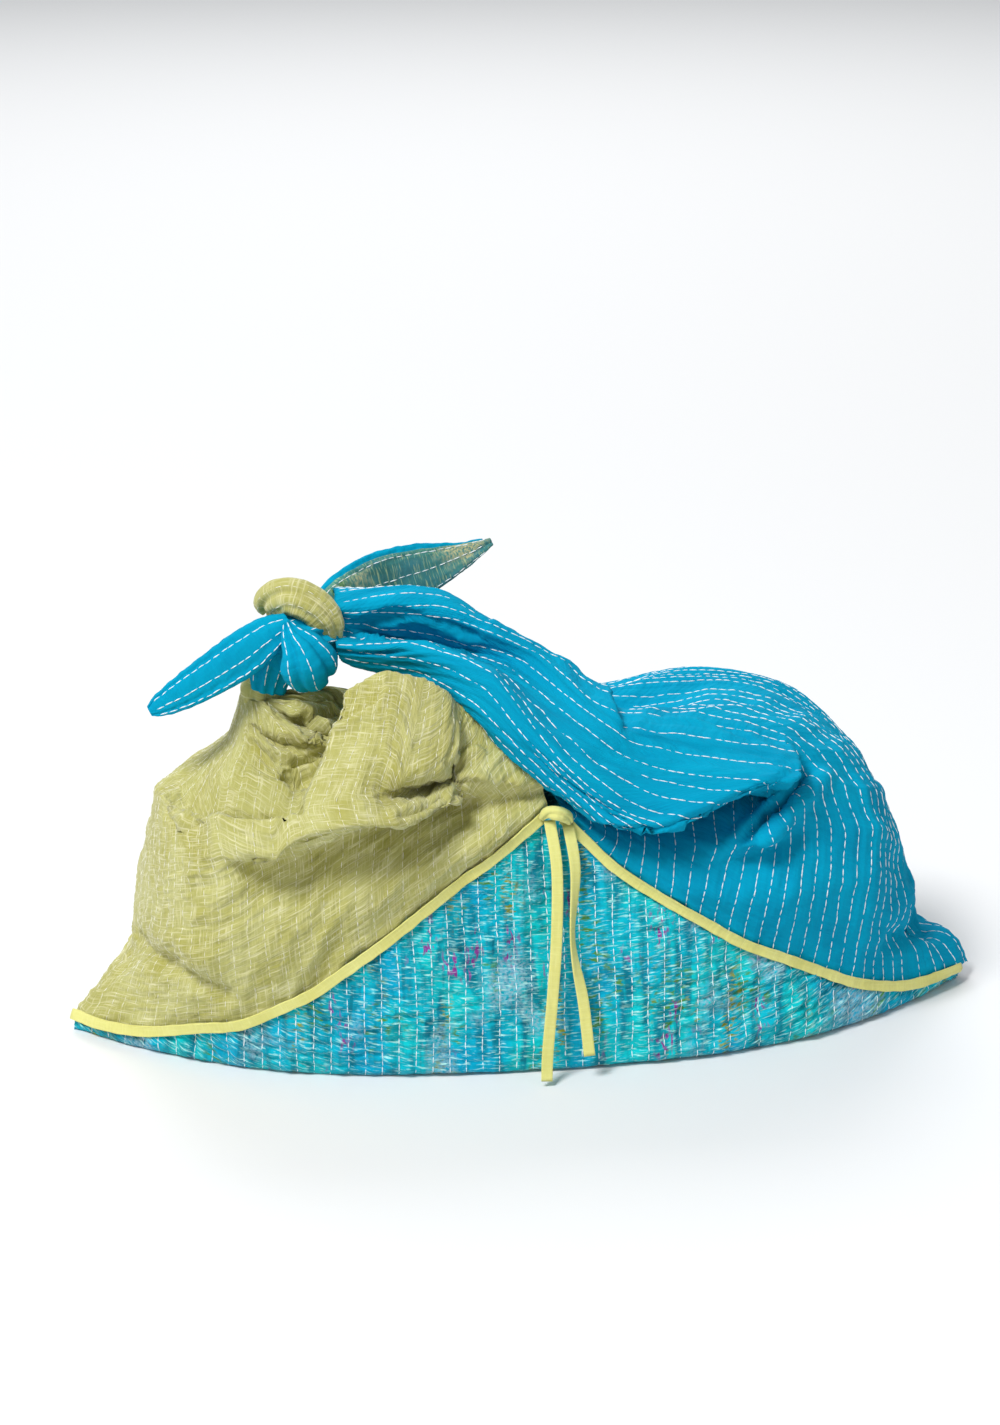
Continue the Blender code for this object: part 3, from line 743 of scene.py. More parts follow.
@dataclass(frozen=True)
class Quilting:
    """How the rows of stitches pull a panel's cloth.

    Attributes:
        pitch: the distance between two rows.
        puff: how far the cloth swells between two rows.
        pucker: the height of the puckers that run from row to row.
        pucker_wave: the distance between two puckers.
        wander: how far a hand-sewn row wanders from its straight line.
        wander_wave: how long its wanderings are.
        crumple: the height of the broad crumples.
        crumple_wave: the size of the crumples.
        seed: picks all the noise.
        swell_power: below 1, the swelling is flatter on top and sharper at a row.
        row_turn: how differently the puckers start in one row and in the next, in radians.
        start_wave: how far along a row their start stays much the same.
        start_reach: how far all that moves them.
        held: the share of a pucker's height that is left at a row.
    """

    pitch: float = 8.0
    puff: float = 0.55
    pucker: float = 0.3
    pucker_wave: float = 6.5
    wander: float = 0.5
    wander_wave: float = 55.0
    crumple: float = 0.0
    crumple_wave: float = 38.0
    seed: int = 1
    swell_power: float = 0.8
    row_turn: float = 2.4
    start_wave: float = 40.0
    start_reach: float = 1.6
    held: float = 0.35

    def height(self, s: np.ndarray, t: np.ndarray) -> np.ndarray:
        """Return how far the cloth stands out, by the distance across the rows and along them.

        The cloth swells between two rows as a power of the sine of its place between them.
        Puckers run from row to row, strongest midway: half a sine wave along the row, whose
        start differs from row to row, and nine tenths of noise stretched across the rows.
        Crumples are ridges: half less the size of a noise, and of a finer one at half height.
        """
        place = (s + self.drift(s, t)) / self.pitch
        swell = np.abs(np.sin(math.pi * place)) ** self.swell_power
        start = 2 * np.sin(np.floor(place) * self.row_turn + self.seed)
        start = start + 0.8 * ripple(s, t, self.start_wave, self.seed + 5)
        wave = np.sin(2 * math.pi * t / self.pucker_wave + start * self.start_reach)
        fold = ripple(s, t, self.pucker_wave * 1.5, self.seed + 9, turn=0.5)
        rumple = np.abs(ripple(s, t, self.crumple_wave, self.seed + 13, turn=2.2))
        rumple = rumple + 0.5 * np.abs(ripple(s, t, self.crumple_wave * 0.45, self.seed + 17))
        puckers = self.pucker * (self.held + (1 - self.held) * swell)
        return (self.crumple * (0.5 - rumple) + self.puff * swell
                + puckers * (0.5 * wave + 0.9 * fold))

    def drift(self, s: np.ndarray, t: np.ndarray) -> np.ndarray:
        """Return how far a hand-sewn row wanders from its straight line."""
        return self.wander * ripple(s, t, self.wander_wave, self.seed + 3)


@dataclass
class Panel:
    """A quilted square as a grid of quilting rows, dense enough to carry its puckers.

    Attributes:
        name: the piece's name.
        table: the rows by name, each with its points from the seam to the knot.
        quilting: how the stitches pull the cloth.
        slot: the record's material slot.
        node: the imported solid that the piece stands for.
        spacing: the distance between the grid's points.
        thickness: the cloth's thickness, with its lining.
        crowd_gap: the gap between two rows below which every second one stops.
        shortest_row: the number of grid points that a row of stitches has at least.
        row_sharp: how sharply the cloth turns at each row.
        column_sharp: how sharply it turns at each column.
        outer: the outer face (rows, columns, 3), once built.
        cloth: the distance across and along the rows at each of its points.
    """

    name: str
    table: Rows
    quilting: Quilting
    slot: str
    node: str
    spacing: float = 2.0
    thickness: float = 1.1
    crowd_gap: float = 4.5
    shortest_row: int = 7
    row_sharp: np.ndarray | float = 0.0
    column_sharp: np.ndarray | float = 0.0
    outer: np.ndarray = field(init=False)
    cloth: np.ndarray = field(init=False)

    def net(self) -> np.ndarray:
        """Return the control points (rows, columns, 3)."""
        return np.array(list(self.table.values()), dtype=float)

    def across(self, net: np.ndarray, rows: np.ndarray) -> np.ndarray:
        """Return the distance across the rows, measured just above the seam."""
        return lengths(curve_at(net[:, 1], rows, self.row_sharp))

    def along(self, grid: np.ndarray) -> np.ndarray:
        """Return the distance along each row from its first point."""
        steps = np.linalg.norm(np.diff(grid, axis=1), axis=-1)
        return np.concatenate([np.zeros((len(grid), 1)), np.cumsum(steps, axis=1)], axis=1)

    def calm(self, grid: np.ndarray) -> np.ndarray:
        """Return how freely the cloth puckers: less where its rows crowd together."""
        crowd = np.linalg.norm(np.gradient(grid, axis=0), axis=-1) / self.spacing
        return np.clip(crowd, 0.1, 1)

    def places(self, net: np.ndarray) -> tuple[np.ndarray, np.ndarray]:
        """Place the dense rows and columns evenly over the cloth, counted in control points."""
        wide = even_places(net[:, 1], self.spacing, self.row_sharp)
        middle = int(np.argmax([lengths(row)[-1] for row in net]))
        return wide, even_places(net[middle], self.spacing, self.column_sharp)

    def shape(self, grid: np.ndarray, rows: np.ndarray, columns: np.ndarray) -> np.ndarray:
        """Return the grid with the folds that this panel adds; a plain panel adds none."""
        return grid

    def build(self) -> None:
        """Work out the outer face and its cloth coordinates."""
        net = self.net()
        rows, columns = self.places(net)
        grid = curve_at(net, rows, self.row_sharp)
        grid = np.swapaxes(curve_at(np.swapaxes(grid, 0, 1), columns, self.column_sharp), 0, 1)
        grid = self.shape(grid, rows, columns)
        s = np.broadcast_to(self.across(net, rows)[:, None], grid.shape[:2])
        t = self.along(grid)
        height = self.quilting.height(s, t) * self.calm(grid)
        self.outer = grid + outward(grid) * height[..., None]
        self.cloth = np.stack([s, t], axis=-1)

    def rows(self) -> tuple[list[np.ndarray], list[np.ndarray]]:
        """Return the quilting rows as lines on the cloth, and its normals along them.

        Every second row stops where the cloth is gathered so tightly that two rows would touch.
        """
        normal = outward(self.outer)
        s, t = self.cloth[..., 0], self.cloth[..., 1]
        count = int(s[-1, 0] / self.quilting.pitch)
        lines, normals = [], []
        columns = np.arange(s.shape[1], dtype=float)
        gaps = np.linalg.norm(np.gradient(self.outer, axis=0), axis=-1)
        gaps = gaps / np.gradient(s[:, 0])[:, None] * self.quilting.pitch
        for number in range(1, count + 1):
            middle = number * self.quilting.pitch
            row = np.interp(middle, s[:, 0], np.arange(len(s)))
            first = np.full(len(columns), row)
            along = read_grid(t[..., None], first, columns)[:, 0]
            row = first - self.quilting.drift(np.full(len(along), middle), along) / self.spacing
            keep = len(columns)
            if number % 2:
                tight = read_grid(gaps[..., None], first, columns)[:, 0] < self.crowd_gap
                keep = int(np.argmax(tight)) if tight.any() else keep
            if keep >= self.shortest_row:
                lines.append(read_grid(self.outer, row, columns)[:keep])
                normals.append(unit(read_grid(normal, row, columns))[:keep])
        return lines, normals

    def make(self, material: bpy.types.Material) -> bpy.types.Object:
        """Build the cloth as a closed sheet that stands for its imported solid."""
        self.build()
        vertices, faces, cloth = closed_sheet(self.outer, self.thickness, self.cloth)
        piece = make_piece(self.name, vertices, faces, self.slot, material, cloth)
        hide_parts(self.node)
        return piece

    def area(self) -> float:
        """Measure the outer face in square metres: the sum of its cells' cross products."""
        a = np.diff(self.outer, axis=0)[:, :-1]
        b = np.diff(self.outer, axis=1)[:-1]
        return float(np.linalg.norm(np.cross(a, b), axis=-1).sum()) * MM * MM

    def declare(self, piece: bpy.types.Object, cut: float, held: str,
                trim: list[bpy.types.Object]) -> None:
        """Args:
            piece: the cloth; not used.
            cut: the side of the square that it was cut to, in metres.
            held: how it is held; not used.
            trim: the pieces on it; not used.
        """
        LOG.info("%s: %.4f m2 of cloth, cut %.3f m square", self.name, self.area(), cut)


@dataclass(frozen=True)
class Crease:
    """A groove along a line on a panel, or a ridge where its depth is negative.

    The line is laid on the cloth first, so its points need only be near it.

    Attributes:
        depth: the groove's depth.
        width: the distance from the line at which it is 1 / e of that.
        line: the points of the line.
        reach: the distance from the line at which the fold has gone, in widths.
        steps: how many points stand for the line.
        calming: how many times the normals are softened.
    """

    depth: float
    width: float
    line: tuple[Point, ...]
    reach: float = 2.5
    steps: int = 60
    calming: int = 8

    def beside(self, grid: np.ndarray, normal: np.ndarray) -> tuple[np.ndarray, np.ndarray]:
        """Measure each point of a grid against the line.

        The fold's share is 1 minus the fourth power of the distance from the line's middle,
        counted from -1 to 1 along it, times a flat-topped bell of the distance from the line.

        Args:
            grid: the points (rows, columns, 3).
            normal: the normals at them.

        Returns:
            How far each point lies to the left of the line, and the fold's share there.
        """
        flat = grid.reshape(-1, 3)
        marks = np.array(self.line, dtype=float)
        on_cloth = np.linalg.norm(flat[None] - marks[:, None], axis=-1).argmin(axis=1)
        route = curve_at(flat[on_cloth], np.linspace(0, len(marks) - 1, self.steps))
        gap = np.linalg.norm(grid[:, :, None] - route, axis=-1)
        spot = gap.argmin(axis=-1)
        ahead = unit(np.gradient(route, axis=0))[spot]
        side = np.sum((grid - route[spot]) * np.cross(normal, ahead), axis=-1)
        ends = 1 - (2 * spot / (len(route) - 1) - 1) ** 4
        return side, ends * np.exp(-(gap.min(axis=-1) / (self.reach * self.width)) ** 4)

    def profile(self, side: np.ndarray) -> np.ndarray:
        """Return the height of the fold at each distance from its line: a bell curve."""
        return -self.depth * np.exp(-(side / self.width) ** 2)

    def press(self, grid: np.ndarray) -> np.ndarray:
        """Press the fold into a grid, along normals that don't follow its small creases."""
        normal = unit(soften(outward(grid), self.calming))
        side, share = self.beside(grid, normal)
        return grid + normal * (self.profile(side) * share)[..., None]


@dataclass(frozen=True)
class Lap(Crease):
    """A fold that laps over the cloth beside it: the cloth on the left of the line stands up.

    Attributes:
        edge: the distance over which it steps up.
    """

    edge: float = 0.8

    def profile(self, side: np.ndarray) -> np.ndarray:
        """Return the height: a step at the line, which dies away exponentially on both sides."""
        return self.depth * np.tanh(side / self.edge) * np.exp(-np.abs(side) / self.width)


SEAM_GAP = 1.6  # between an end square and the base, under the tape


@dataclass
class EndSquare(Panel):
    """An end square: sewn along its front and back seams and drawn up into the knot.

    Attributes:
        creases: the folds pressed into it, in order.
    """

    creases: tuple[Crease, ...] = ()

    def shape(self, grid: np.ndarray, rows: np.ndarray, columns: np.ndarray) -> np.ndarray:
        """Return the grid with its creases, starting half a seam's gap from the seam line."""
        grid = grid.copy()
        tip = list(self.table).index("tip")
        side = np.where(rows <= tip, Side.FRONT.value, Side.BACK.value)
        grid[:, 0] = seam_at(grid[:, 0, 0], side)
        for crease in self.creases:
            grid = crease.press(grid)
        grid[:, 0] += unit(grid[:, 2] - grid[:, 0]) * SEAM_GAP / 2
        return grid


@dataclass
class LimeEnd(EndSquare):
    """The lime square, with the pleats that gather it behind the hump.

    Attributes:
        pleats: how many there are.
        pleat_height: how far they stand up.
        pleat_reach: how far they run from their middle, in columns.
        pleat_shift: how far their middle lies past the column named for them.
        pleat_power: below 1, the arches are flatter on top and sharper between them.
        pleat_lift: the way they stand up.
    """

    pleats: int = 4
    pleat_height: float = 6.0
    pleat_reach: float = 0.95
    pleat_shift: float = 0.05
    pleat_power: float = 0.7
    pleat_lift: Point = (0.15, -0.8, 0.5)

    def shape(self, grid: np.ndarray, rows: np.ndarray, columns: np.ndarray) -> np.ndarray:
        """Return the grid with its creases and pleats.

        Across the rows the pleats are arches, 1 minus a power of the cosine's size, and along
        the rows they fade as a flat-topped bell.
        """
        grid = super().shape(grid, rows, columns)
        names = list(self.table)
        start, stop = names.index("front_hem"), names.index("tuck")
        turn = np.clip((rows - start) / (stop - start), 0, 1) * self.pleats
        ridge = 1 - np.abs(np.cos(math.pi * turn)) ** self.pleat_power
        middle = LIME_COLUMNS.index("pleat") + self.pleat_shift
        along = np.exp(-((columns - middle) / self.pleat_reach) ** 4)
        lift = unit(np.array(self.pleat_lift))
        return grid + ridge[:, None, None] * along[None, :, None] * lift * self.pleat_height


def front_seam(table: Rows, steps: int = 12) -> np.ndarray:
    """Read the front seam of an end square, in order of x, at some steps for each row."""
    names = list(table)
    cells = np.array([table[name][0] for name in names[:names.index("tip") + 1]], dtype=float)
    line = curve_at(cells, np.linspace(0, len(cells) - 1, steps * (len(cells) - 1) + 1))
    return line[np.argsort(line[:, 0])]


def seam_at(x: np.ndarray, side: np.ndarray | int) -> np.ndarray:
    """Find a point of the seams at each x; the back seams mirror the front ones."""
    line = np.concatenate([front_seam(LIME_ROWS), front_seam(CYAN_ROWS)])
    y = np.interp(x, line[:, 0], line[:, 1])
    return np.stack([x, -side * y, np.interp(x, line[:, 0], line[:, 2])], axis=-1)


@dataclass
class BasePanel(Panel):
    """The base square: a floor with a front and a back triangle that stand up to the seams.

    Attributes:
        half_length: from the middle to a tip.
        half_depth: from the middle to the front edge of the floor.
        outline_power: how square the floor's outline is.
        floor_round: the radius between the floor and a triangle.
        bulge: how far a triangle bulges where it is tall.
        tall: the height from which it is.
        tip_start: the x beyond which the cloth falls away from the seam, towards a tip.
        tip_gap: how far it does.
        tip_inset: how far from a tip the cloth ends.
        stations: the number of sections.
        crowding: how much closer the sections stand towards the tips.
        flat: the height below which the cloth lies smooth on the floor.
    """

    half_length: float = 225.0
    half_depth: float = 81.0
    outline_power: float = 3.0
    floor_round: float = 7.0
    bulge: float = 2.5
    tall: float = 60.0
    tip_start: float = 180.0
    tip_gap: float = 2.0
    tip_inset: float = 3.0
    stations: int = 61
    crowding: float = 0.35
    flat: float = 6.0

    def section(self, x: np.ndarray) -> np.ndarray:
        """Return a section from seam to seam at each x.

        The floor's outline is half_depth times 1 - (x / half_length)^outline_power; a quarter
        turn joins it to the wall, which bulges between its foot and the seam.
        """
        front = seam_at(x, Side.FRONT.value)
        share = np.clip(np.abs(x) / self.half_length, 0, 1)
        floor_y = -self.half_depth * (1 - share ** self.outline_power)
        zero = np.zeros(len(x))
        turn = np.minimum(self.floor_round, np.minimum(front[:, 2], -floor_y) * 0.5)
        foot = np.stack([x, floor_y, turn], axis=-1)
        near_tip = np.clip((np.abs(x) - self.tip_start) / (self.half_length - self.tip_start), 0, 1)
        drop = SEAM_GAP / 2 + self.tip_gap * near_tip
        front = front + unit(foot - front) * drop[:, None]
        middle = (front + foot) / 2
        middle[:, 1] -= self.bulge * np.minimum(1, front[:, 2] / self.tall)
        columns = [front, middle]
        for angle in (0, 45, 90):
            reach = 1 - math.cos(math.radians(angle))
            rise = 1 - math.sin(math.radians(angle))
            columns.append(np.stack([x, floor_y + turn * reach, turn * rise], axis=-1))
        for part in (0.5, 0.0):
            columns.append(np.stack([x, floor_y * part, zero], axis=-1))
        half = np.stack(columns, axis=1)
        return np.concatenate([half, half[:, -2::-1] * np.array([1, -1, 1])], axis=1)

    def net(self) -> np.ndarray:
        """Place a section at each station, closer together towards the tips."""
        even = np.linspace(-1, 1, self.stations)
        share = self.crowding * np.sin(even * math.pi / 2) + (1 - self.crowding) * even
        return self.section(share * (self.half_length - self.tip_inset))

    def across(self, net: np.ndarray, rows: np.ndarray) -> np.ndarray:
        """Return the distance across the rows, which stand upright: it is x from the tip."""
        x = curve_at(net[:, 1, :1], rows)[:, 0]
        return x - x[0]

    def along(self, grid: np.ndarray) -> np.ndarray:
        """Return the distance along the rows from the middle of the floor."""
        distance = super().along(grid)
        return distance - distance[:, grid.shape[1] // 2][:, None]

    def calm(self, grid: np.ndarray) -> np.ndarray:
        """Return how freely the cloth puckers: not at all where it lies on the floor."""
        return super().calm(grid) * np.clip(grid[..., 2] / self.flat, 0, 1)


@dataclass(frozen=True)
class TapeSection:
    """The section of a folded tape: flat, with round edges.

    Attributes:
        width: its width.
        thickness: its thickness.
        sides: the number of points round it.
        power: below 1, the ellipse is squarer.
    """

    width: float = 5.5
    thickness: float = 1.25
    sides: int = 24
    power: float = 0.45

    def turns(self) -> tuple[np.ndarray, np.ndarray]:
        """Work out the section: powers of the cosine and the sine of the angle round it."""
        angle = np.linspace(0, 2 * math.pi, self.sides, endpoint=False)
        across, through = oval(angle, self.power)
        return across * self.width / 2, through * self.thickness / 2

    def make(self, name: str, rings: np.ndarray, along: np.ndarray, material: bpy.types.Material,
             flip: bool = False) -> bpy.types.Object:
        """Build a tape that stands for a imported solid.

        Args:
            name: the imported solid.
            rings: the section's points at each ring (rings, sides, 3).
            along: the distance along the tape of each ring.
            material: its finish.
            flip: whether its faces are turned round.

        Returns:
            The piece.
        """
        vertices, faces, cloth = closed_tube(rings, tube_cloth(self.turns()[0], along))
        if flip:
            faces = faces[:, ::-1]
        piece = make_piece(f"{name}_tape", vertices, faces, "tape_cotton", material, cloth)
        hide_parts(name)
        return piece


@dataclass
class Binding:
    """The tape that covers one seam: half of its width lies on the base, half on the panel.

    Attributes:
        name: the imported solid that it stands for.
        table: the rows of the end square that it is sewn to.
        side: the front or the back seam.
        low: the x at which it starts.
        high: the x at which it ends.
        base: the base square.
        section: the tape's section.
        lift: how far its middle lies out from the seam.
        lift_waver: how much that differs.
        lift_wave: over which distance it does.
        waver: how much its width differs, as a share.
        wave: over which distance it does.
        spacing: the distance between two rings.
        steps: how many points measure the seam.
        row_steps: how many points are read for each row of the end square.
        seed: picks how it wavers.
    """

    name: str
    table: Rows
    side: Side
    low: float
    high: float
    base: BasePanel
    section: TapeSection = TapeSection()
    lift: float = 1.9
    lift_waver: float = 0.18
    lift_wave: float = 9.0
    waver: float = 0.05
    wave: float = 14.0
    spacing: float = 1.6
    steps: int = 400
    row_steps: int = 8
    seed: int = 3

    def rise(self, x: np.ndarray) -> np.ndarray:
        """Find the way up the end square from its seam, as a unit vector at each x."""
        names = list(self.table)
        tip = names.index("tip")
        rows = names[:tip + 1] if self.side is Side.FRONT else names[tip:]
        cells = np.array([self.table[name][:2] for name in rows], dtype=float)
        last = len(cells) - 1
        cells = curve_at(cells, np.linspace(0, last, self.row_steps * last + 1))
        cells = cells[np.argsort(cells[:, 0, 0])]
        way = unit(cells[:, 1] - cells[:, 0])
        return read_line(x, cells[:, 0, 0], way)

    def make(self, material: bpy.types.Material) -> bpy.types.Object:
        """Build the tape along its seam.

        Its section is carried along the seam and bent there: the half that is positive across
        the tape lies up the end square, and the other half lies down the base.
        """
        route = seam_at(np.linspace(self.low, self.high, self.steps), self.side.value)
        length = lengths(route)
        even = np.linspace(0, length[-1], int(length[-1] / self.spacing))
        x = np.interp(even, length, route[:, 0])
        seam = seam_at(x, self.side.value)
        up = self.rise(x)
        wall = self.base.section(x)
        down = unit(wall[:, 1] - wall[:, 0]) * np.array([1, -self.side.value, 1])
        ahead = unit(np.gradient(seam, axis=0))
        up = unit(up - ahead * np.sum(up * ahead, axis=-1, keepdims=True))
        down = unit(down - ahead * np.sum(down * ahead, axis=-1, keepdims=True))
        out = unit(np.cross(ahead, up - down))
        out *= np.sign(out[:, 1:2] * self.side.value)
        across, through = self.section.turns()
        waver = 1 + self.waver * ripple(even, even, self.wave, self.seed)
        reach = across[None, :, None] * waver[:, None, None]
        bent = np.where(reach > 0, up[:, None] * reach, -down[:, None] * reach)
        lift = self.lift + self.lift_waver * ripple(even, even, self.lift_wave, self.seed + 1)
        rings = (seam[:, None] + bent
                 + out[:, None] * (lift[:, None, None] + through[None, :, None]))
        return self.section.make(self.name, rings, even, material, self.side is Side.FRONT)


@dataclass
class Tie:
    """A tape that hangs free from the front corner.

    Attributes:
        name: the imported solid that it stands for.
        bends: the points that its middle passes through, from its fixed end.
        turns: how far it is twisted at each of them, in degrees.
        section: the tape's section.
        spacing: the distance between two rings.
    """

    name: str
    bends: tuple[Point, ...]
    turns: tuple[float, ...]
    section: TapeSection = TapeSection(thickness=0.95)
    spacing: float = 1.5

    def make(self, material: bpy.types.Material) -> bpy.types.Object:
        """Build the tape: its section is carried along the bends and twisted by the turns."""
        bends = np.array(self.bends)
        place = even_places(bends, self.spacing)
        centre = curve_at(bends, place)
        twist = np.radians(curve_at(np.array(self.turns, dtype=float)[:, None], place))
        ahead = unit(np.gradient(centre, axis=0))
        flat = unit(np.cross(ahead, np.array([0.0, 1.0, 0.0])))
        wide = flat * np.cos(twist) + np.cross(flat, ahead) * np.sin(twist)
        thin = np.cross(ahead, wide)
        across, through = self.section.turns()
        rings = (centre[:, None] + wide[:, None] * across[None, :, None]
                 + thin[:, None] * through[None, :, None])
        along = lengths(centre)
        piece = self.section.make(self.name, rings, along, material)
        LOG.info("%s: %.0f mm long", self.name, along[-1])
        return piece


@dataclass(frozen=True)
class Fold:
    """A crease along a rolled piece of cloth; its angle round the piece changes evenly.

    Attributes:
        start: the angle where the piece starts, in degrees.
        end: the angle where it ends.
        depth: how deep it is.
        width: the angle from it at which it is 1 / e of that.
    """

    start: float
    end: float
    depth: float
    width: float


@dataclass
class RolledCloth:
    """A rolled or folded end of a square in the knot.

    The section is an ellipse whose wide side faces the front, with folds pressed into it.

    Attributes:
        name: the piece's name.
        slot: the record's material slot.
        table: the centre x, y and z, the half width and the half thickness, row by row.
        folds: the folds pressed into it.
        rows: the angle of each quilting row at the start and at the end, in degrees.
        sides: the number of points round it.
        facing: the way that its wide side faces.
        edge: below 1, the section is squarer.
        seed: picks its unevenness.
        spacing: the distance between two rings.
        uneven: how uneven it is.
        uneven_wave: the size of that unevenness.
        thinnest: the half width and the half thickness that a fold leaves.
    """

    name: str
    slot: str
    table: tuple[tuple[float, float, float, float, float], ...]
    folds: tuple[Fold, ...] = ()
    rows: tuple[tuple[float, float], ...] = ()
    sides: int = 72
    facing: Point = (0.0, -1.0, 0.25)
    edge: float = 1.0
    seed: int = 1
    spacing: float = 1.2
    uneven: float = 0.25
    uneven_wave: float = 7.0
    thinnest: tuple[float, float] = (0.5, 0.3)

    def rings(self) -> tuple[np.ndarray, np.ndarray, np.ndarray, np.ndarray]:
        """Work out the roll's surface.

        A point is the centre plus the half width times a power of the cosine of its angle
        across, plus the half thickness times a power of the sine the way it faces.  A fold
        takes a bell curve of the angle off both.

        Returns:
            The rings (rings, sides, 3), their outward normals, the angles round them and the
            distance along the roll.
        """
        table = np.array(self.table, dtype=float)
        place = even_places(table[:, :3], self.spacing)
        row = curve_at(table, place)
        centre = row[:, :3]
        ahead = unit(np.gradient(centre, axis=0))
        across = unit(np.cross(ahead, self.facing))
        lift = unit(np.cross(across, ahead))
        angle = np.linspace(0, 2 * math.pi, self.sides, endpoint=False)
        share = np.linspace(0, 1, len(row))[:, None]
        press = np.zeros((len(row), self.sides))
        for fold in self.folds:
            middle = np.radians(fold.start + (fold.end - fold.start) * share)
            gap = np.angle(np.exp(1j * (angle[None] - middle)))
            press += fold.depth * np.exp(-(gap / math.radians(fold.width)) ** 2)
        along = lengths(centre)
        around = angle[None] * row[:, 3:4]
        press += self.uneven * ripple(around, along[:, None], self.uneven_wave, self.seed)
        cosine, sine = oval(angle, self.edge)
        wide = np.maximum(row[:, 3:4] - press, self.thinnest[0]) * cosine
        high = np.maximum(row[:, 4:5] - press, self.thinnest[1]) * sine
        rings = (centre[:, None] + across[:, None] * wide[..., None]
                 + lift[:, None] * high[..., None])
        down = np.gradient(rings, axis=0)
        turn = np.roll(rings, -1, axis=1) - np.roll(rings, 1, axis=1)
        normal = unit(np.cross(turn, down))
        if np.sum(normal * (rings - centre[:, None])) < 0:
            normal = -normal
        return rings, normal, angle, along

    def make(self, material: bpy.types.Material) -> bpy.types.Object:
        """Build the cloth as a closed roll."""
        rings, _, angle, along = self.rings()
        girth = np.array(self.table)[:, 3].mean()
        vertices, faces, flat = closed_tube(rings, tube_cloth(angle * girth, along))
        return make_piece(self.name, vertices, faces, self.slot, material, flat)

    def lines(self) -> tuple[list[np.ndarray], list[np.ndarray]]:
        """Return the quilting rows that run along the roll, and the normals at their points."""
        rings, normal, _, _ = self.rings()
        share = np.linspace(0, 1, len(rings))
        lines, normals = [], []
        for start, end in self.rows:
            turn = np.radians(start + (end - start) * share) / (2 * math.pi) * self.sides
            turn = turn % self.sides
            wrapped = np.concatenate([rings, rings[:, :1]], axis=1)
            beside = np.concatenate([normal, normal[:, :1]], axis=1)
            step = np.arange(len(rings), dtype=float)
            lines.append(read_grid(wrapped, step, turn)[1:-1])
            normals.append(unit(read_grid(beside, step, turn))[1:-1])
        return lines, normals


# ---------------------------------------------------------------------------------------------
# The bag
# ---------------------------------------------------------------------------------------------


def sharpness(names: Sequence[str], values: Mapping[str, float]) -> np.ndarray:
    """Return a value for each name, which is 0 where none is given."""
    return np.array([values.get(name, 0.0) for name in names])


